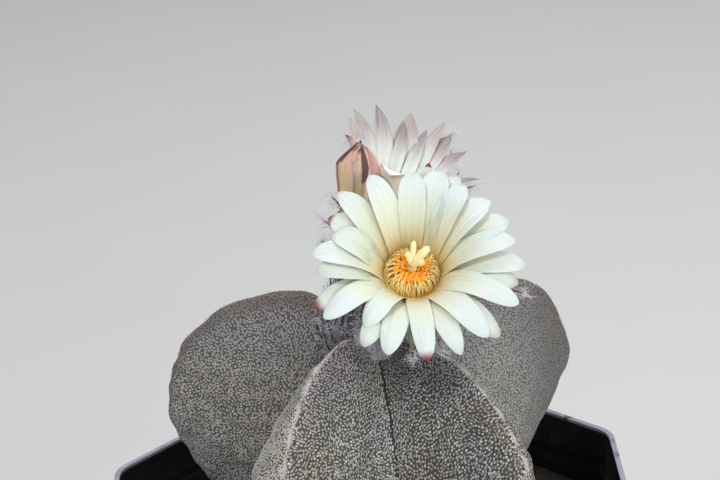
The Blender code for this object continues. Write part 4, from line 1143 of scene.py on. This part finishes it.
def make_tube(name, line, radii, inset, sides, per_row, width, tube_mat, scale_mat):
    """A flower's or the bud's tube, inset so that its scales stand on it. Returns the wool between them."""
    tube = Shape()
    inner = np.interp(shares(len(line)), shares(len(radii)), radii) - inset
    add_tubes(tube, line[None], inner, sides, tone=0.5)
    tube.piece(name + "_tube", tube_mat, "scales", name + "_calyx")
    scales = Shape()
    roots = add_tube_scales(scales, line, radii, per_row, width)
    scales.piece(name + "_scales", scale_mat, "scales", name + "_calyx")
    wool = Shape()
    add_wool(wool, roots, 9, mm(1.4, 3.4), 0.065 * MM)
    return wool


def make_calyx(name, tube_mat, scale_mat, sepal_mat, wool_mat):
    """A flower's scaly tube, the sepals at its top and the wool of both."""
    wool = make_tube(name, tube_line(name), TUBE_RADII, 0.3 * MM, 28, 13, 0.95 * MM, tube_mat, scale_mat)
    sepals = Shape()
    v = shares(14)
    for index, (bearing, reach, tip) in enumerate(SEPALS[name]):
        corners = ((6.6 * MM, TUBE_END - 0.8 * MM), (10 * MM, TUBE_END + 1.2 * MM),
                   (0.7 * reach * MM, (tip - 3.6) * MM), (reach * MM, (tip - 2.4) * MM))
        path = flower_line(name, bearing, curve(corners, v))
        half = SEPAL_HALF_WIDTH * leaf_outline(v, base=1.5, widest=0.35, taper=1.4, blunt=0.95)
        add_leaf(sepals, path, across_of(name, bearing), np.maximum(half, 0.07 * MM),
                 np.linspace(0.3, 0.1, len(v)), PETAL_THICKNESS, columns=7, kind=index * 2.9)
        ahead = unit(path[-1] - path[-3])
        add_wool(wool, [(path[-1 - k], across_of(name, bearing) * 0.3, ahead) for k in (0, 1, 2)], 18,
                 (1.4 * MM, 4.0 * MM), 0.06 * MM, spread=0.9)
    sepals.piece(name + "_sepals", sepal_mat, "scales", name + "_calyx")
    wool.piece(name + "_wool", wool_mat, "scales")


def make_outer_petal(kind, mat):
    """One of the upper flower's outermost petals, which lean over the bud."""
    v = shares(18)
    bearing, reach, tip, half_width, foot, turn, taper = OUTER_PETALS[kind]
    shape = Shape()
    arch = FRONT_ARCH if kind == "front" else None
    path = petal_line("flower_2", bearing, reach * MM, tip * MM, 1, v, arch)
    path = path + np.outer((1 - v) * foot * MM, across_of("flower_2", bearing))
    half = half_width * MM * leaf_outline(v, base=0.7, widest=0.5, taper=taper, blunt=0.8)
    across = across_of("flower_2", bearing)
    ahead = unit(np.gradient(path, axis=0))
    across = across * math.cos(turn) + np.cross(ahead, across) * math.sin(turn)
    add_leaf(shape, path, across, np.maximum(half, LEAST_HALF), np.full(len(v), 0.2), PETAL_THICKNESS,
             kind=3.3)
    shape.piece("flower_2_%s_petal" % kind, mat, "petals", "flower_2_petals")


# Bud

def make_bud(tube_mat, scale_mat, petal_mat, sepal_mat, edge_and_shade_mat, wool_mat):
    """The closed bud on its scaly tube: petals wrapped round each other, and sepals against them."""
    line = curve(np.array(BUD_LINE) * MM, shares(22))
    wool = make_tube("bud", line, BUD_TUBE_RADII, 0.5 * MM, 24, 11, 0.75 * MM, tube_mat, scale_mat)
    wool.piece("bud_wool", wool_mat, "scales")
    seat = line[-1]
    tip = np.array(BUD_TIP) * MM
    axis = unit(tip - seat)
    length = np.linalg.norm(tip - seat)
    side = unit(np.cross(axis, (0, 1, 0)))
    depth = np.cross(axis, side)
    wraps = Shape()
    steps, columns = 20, 11
    v = shares(steps)
    a = np.linspace(-1, 1, columns)
    across = np.tile(a, (steps, 1))
    across = both_sides(across, across)

    def centre(level):
        """The middle of the bud at shares of its length."""
        bow = np.interp(level, *np.array(BUD_BOW).T) * MM
        return seat + np.outer(level * length, axis) + np.outer(bow, side)

    def radius_at(level):
        return BUD_RADIUS * np.interp(level, *np.array(BUD_OUTLINE).T)

    for index in range(BUD_WRAPS):
        middle = math.radians(137.5 * index + 20)
        reach = 1.0 - 0.035 * (index // 3) - random.uniform(0, 0.03)
        level = -0.08 + (reach + 0.08) * v
        half_turn = 1.05 * leaf_outline(v, base=0.75, widest=0.5, taper=2.0, blunt=0.8) + 0.02
        turn = middle + a * half_turn[:, None]
        layer = 0.16 * MM * (index // 3) + 0.12 * MM * a
        distance = radius_at(level)[:, None] * 0.9 + layer
        out = np.cos(turn)[..., None] * side + np.sin(turn)[..., None] * depth
        top = centre(level)[:, None] + out * distance[..., None]
        ring = both_sides(top, top - out * 0.22 * MM)
        sides = ring.shape[1]
        wraps.add(ring, [grid_quads(steps, sides, closed=True)], along=np.repeat(v, sides), across=across,
                  under=0.0, outer=0.0, blush=1.0, kind=index * 4.1)
    core = np.linspace(-0.05, 0.97, 12)
    add_tubes(wraps, centre(core)[None], 0.8 * radius_at(core), 16, along=np.clip(core, 0, 1)[None],
              across=0.5, under=0.0, outer=0.0, blush=1.0, kind=50.0)
    wraps.piece("bud_wraps", petal_mat, "bud_petals", "bud_petals")
    # The second set of strips is dark red: partly the bud's own dark sepal edges, partly painted shade in the
    # gaps beside the bud.
    for name, mat, rows in (("bud_sepals", sepal_mat, BUD_SEPALS), ("bud_edges_and_gap_shade", edge_and_shade_mat, BUD_EDGES_AND_GAP_SHADE)):
        sepals = Shape()
        for bearing, width, start, end in rows:
            turn = math.radians(bearing)
            out = side * math.cos(turn) + depth * math.sin(turn)
            level = np.linspace(start, end, steps)
            path = centre(level) + (0.92 * radius_at(level) + 0.3 * MM)[:, None] * out
            half = width * MM * leaf_outline(v, base=0.8, widest=0.4, taper=1.8, blunt=0.9)
            add_leaf(sepals, path, np.cross(axis, out), np.maximum(half, LEAST_HALF), np.full(steps, -0.3),
                     PETAL_THICKNESS, columns=7, kind=bearing)
        sepals.piece(name, mat, "bud_petals", "bud_petals")


def make_crown_wool(wool_mat):
    """Felt that fills the sunken crown between the ribs and round the flowers' tubes."""
    shape = Shape()
    count = CROWN_HAIRS
    distance = CROWN_REACH * np.sqrt(random.uniform(size=count))
    turn = random.uniform(0, 2 * math.pi, count)
    out = np.stack((np.cos(turn), np.sin(turn), np.zeros(count)), -1)
    roots = np.array((BODY_X, 0, APEX_Z - 0.5 * MM)) + out * distance[:, None]
    add_hairs(shape, roots, out * 0.5 + UP + random.normal(0, 0.5, (count, 3)),
              random.uniform(1.5, 3.6, count) * MM, 0.06 * MM, curl=0.35, wander=0.35)
    shape.piece("crown_wool", wool_mat, "skin", "cactus_body")


# Soil, stage

def make_grit():
    """Loose grit on the soil: angular crumbs and a few paler stones."""
    shape = Shape()
    base = bpy.data.meshes.new("crumb")
    bm = bmesh.new()
    bmesh.ops.create_icosphere(bm, subdivisions=1, radius=1.0)
    bm.to_mesh(base)
    bm.free()
    corners = np.array([vert.co[:] for vert in base.vertices])
    tris = np.array([face.vertices[:] for face in base.polygons])
    bpy.data.meshes.remove(base)
    made = 0
    while made < GRIT_COUNT:
        x, y = random.uniform(-SOIL_REACH, SOIL_REACH, 2)
        flats = max(abs(x), abs(y), abs(x + y) / math.sqrt(2), abs(x - y) / math.sqrt(2))
        if flats > SOIL_REACH or math.hypot(x - BODY_X, y) < NECK[0] + 0.5 * MM:
            continue
        made += 1
        size = (0.5 + 1.3 * random.uniform() ** 3) * MM
        bumpy = corners * random.uniform(0.72, 1.18, (len(corners), 1)) * random.uniform(0.6, 1.1, 3)
        turn = random.uniform(0, 2 * math.pi)
        cos, sin = math.cos(turn), math.sin(turn)
        spin = np.array(((cos, -sin, 0), (sin, cos, 0), (0, 0, 1)))
        place = (x, y, SOIL_TOP + 0.25 * size)
        shape.add(bumpy @ spin.T * size + place, [tris], tone=random.uniform() ** 2.5)
    mat = two_tone_material("grit", (0.020, 0.016, 0.013), (0.16, 0.13, 0.105), 0.9, 1500.0)
    shape.piece("grit", mat, "soil").data.shade_flat()


def make_stage():
    """The pale floor, a faint even light all round and the lamps."""
    corners = [(x * FLOOR_HALF, y * FLOOR_HALF, 0) for x, y in ((-1, -1), (1, -1), (1, 1), (-1, 1))]
    mesh = bpy.data.meshes.new("floor")
    mesh.from_pydata(corners, [], [(0, 1, 2, 3)])
    floor = add_object("floor", mesh)
    floor.data.materials.append(floor_material())
    world = bpy.data.worlds.new("studio")
    bpy.context.scene.world = world
    world.use_nodes = True
    background = world.node_tree.nodes["Background"]
    background.inputs["Color"].default_value = WORLD_COLOUR
    background.inputs["Strength"].default_value = WORLD_STRENGTH
    for light in LIGHTS:
        add_light(*light)


def add_light(name, place, size, power, colour):
    light = bpy.data.lights.new(name, "AREA")
    light.shape = "DISK"
    light.size = size
    light.energy = power
    light.color = colour
    obj = add_object(name, light)
    obj.location = place
    aim = Vector(LIGHTS_AIM) - obj.location
    obj.rotation_euler = aim.to_track_quat("-Z", "Y").to_euler()


def make_camera():
    """The camera at the photograph's place and angle."""
    pitch, yaw, roll = (math.radians(angle) for angle in (CAMERA_PITCH, CAMERA_YAW, CAMERA_ROLL))
    back = Vector((math.sin(yaw) * math.cos(pitch), -math.cos(yaw) * math.cos(pitch), math.sin(pitch)))
    right = Vector((math.cos(yaw), math.sin(yaw), 0))
    up = back.cross(right)
    across = right * math.cos(roll) - up * math.sin(roll)
    over = right * math.sin(roll) + up * math.cos(roll)
    camera = bpy.data.cameras.new("camera")
    camera.sensor_width = 36.0
    camera.lens = CAMERA_LENS
    camera.clip_start = 0.01
    obj = add_object("camera", camera)
    turned = Matrix((across, over, back)).transposed().to_4x4()
    obj.matrix_world = Matrix.Translation(Vector(CAMERA_PLACE) * MM) @ turned
    bpy.context.scene.camera = obj


def make_flowers():
    cream = petal_material("cream petals", (0.80, 0.56, 0.20), (0.79, 0.77, 0.60), (0.71, 0.76, 0.75),
                           (0.62, 0.64, 0.48), (0.56, 0.44, 0.30), (0.22, 0.03, 0.04))
    rosy = petal_material("rosy petals", (0.80, 0.76, 0.50), (0.89, 0.91, 0.89), (0.27, 0.23, 0.26),
                          (0.86, 0.78, 0.64), (0.62, 0.42, 0.42), (0.40, 0.16, 0.20), rib_inside=0.2)
    throat = two_tone_material("throat", (0.74, 0.54, 0.14), (0.88, 0.70, 0.26), 0.5, 700.0)
    filament = two_tone_material("filaments", (0.94, 0.70, 0.22), (0.98, 0.86, 0.42), 0.45, 800.0)
    anther = two_tone_material("anthers", (0.92, 0.30, 0.005), (1.0, 0.48, 0.02), 0.6, 2500.0)
    stigma = two_tone_material("stigma", (0.92, 0.58, 0.20), (0.99, 0.88, 0.52), 0.5, 2200.0,
                               Subsurface_Weight=0.2, Subsurface_Scale=0.001)
    tube = two_tone_material("tube skin", (0.13, 0.12, 0.14), (0.34, 0.32, 0.37), 0.9, 1300.0)
    scale = scale_material("dark scales", (0.12, 0.09, 0.09), (0.045, 0.028, 0.035), (0.014, 0.009, 0.013))
    sepal = scale_material("sepals", (0.58, 0.57, 0.38), (0.56, 0.53, 0.36), (0.17, 0.028, 0.04),
                           (0.74, 0.90))
    wool = two_tone_material("wool", (0.56, 0.54, 0.60), (0.88, 0.86, 0.93), 0.8, 600.0)
    for name, petals in (("flower_1", cream), ("flower_2", rosy)):
        make_petals(name, petals)
        make_throat(name, throat)
        make_stamens(name, filament, anther)
        make_pistil(name, stigma)
        make_calyx(name, tube, scale, sepal, wool)
    peach = petal_material("peach bud petals", (0.70, 0.51, 0.28), (0.71, 0.49, 0.30), (0.66, 0.38, 0.31),
                           (0.72, 0.50, 0.31), (0.86, 0.64, 0.33), (0.15, 0.04, 0.06), rib_inside=0.6)
    pink = scale_material("pink bud sepals", (0.68, 0.54, 0.40), (0.78, 0.44, 0.39), (0.14, 0.035, 0.06),
                          (0.86, 1.0))
    # Dark red for the strips against the bud: partly the sepals' own edges, partly painted shade in the gaps
    # beside it.
    edge = scale_material("dark red edges and gap shade", (0.15, 0.055, 0.06), (0.15, 0.05, 0.06), (0.12, 0.04, 0.055))
    # The front petal's cream is lighter than the other petals' backs: painted light on a petal that lies in
    # the shade of the lower flower's petals.
    front_petal_painted_lighter = scale_material("cream front petal painted lighter", (1.0, 0.88, 0.66), (1.0, 0.92, 0.76), (0.95, 0.95, 0.93),
                         (0.74, 0.84))
    beige = scale_material("beige outer petal", (0.72, 0.60, 0.44), (0.70, 0.54, 0.44), (0.24, 0.06, 0.09),
                           (0.84, 1.0))
    make_bud(tube, scale, peach, pink, edge, wool)
    for kind, mat in (("pink", pink), ("beige", beige), ("front", front_petal_painted_lighter)):
        make_outer_petal(kind, mat)
    make_crown_wool(wool)


def main():
    make_camera()
    make_stage()
    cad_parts["pot"].data.materials[0] = pot_material()
    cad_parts["soil"].data.materials[0] = soil_material()
    make_grit()
    points, crest, groove = make_body()
    make_flecks(points, crest, groove)
    make_areoles(points)
    make_flowers()
    bpy.context.scene.view_settings.view_transform = "Standard"


main()
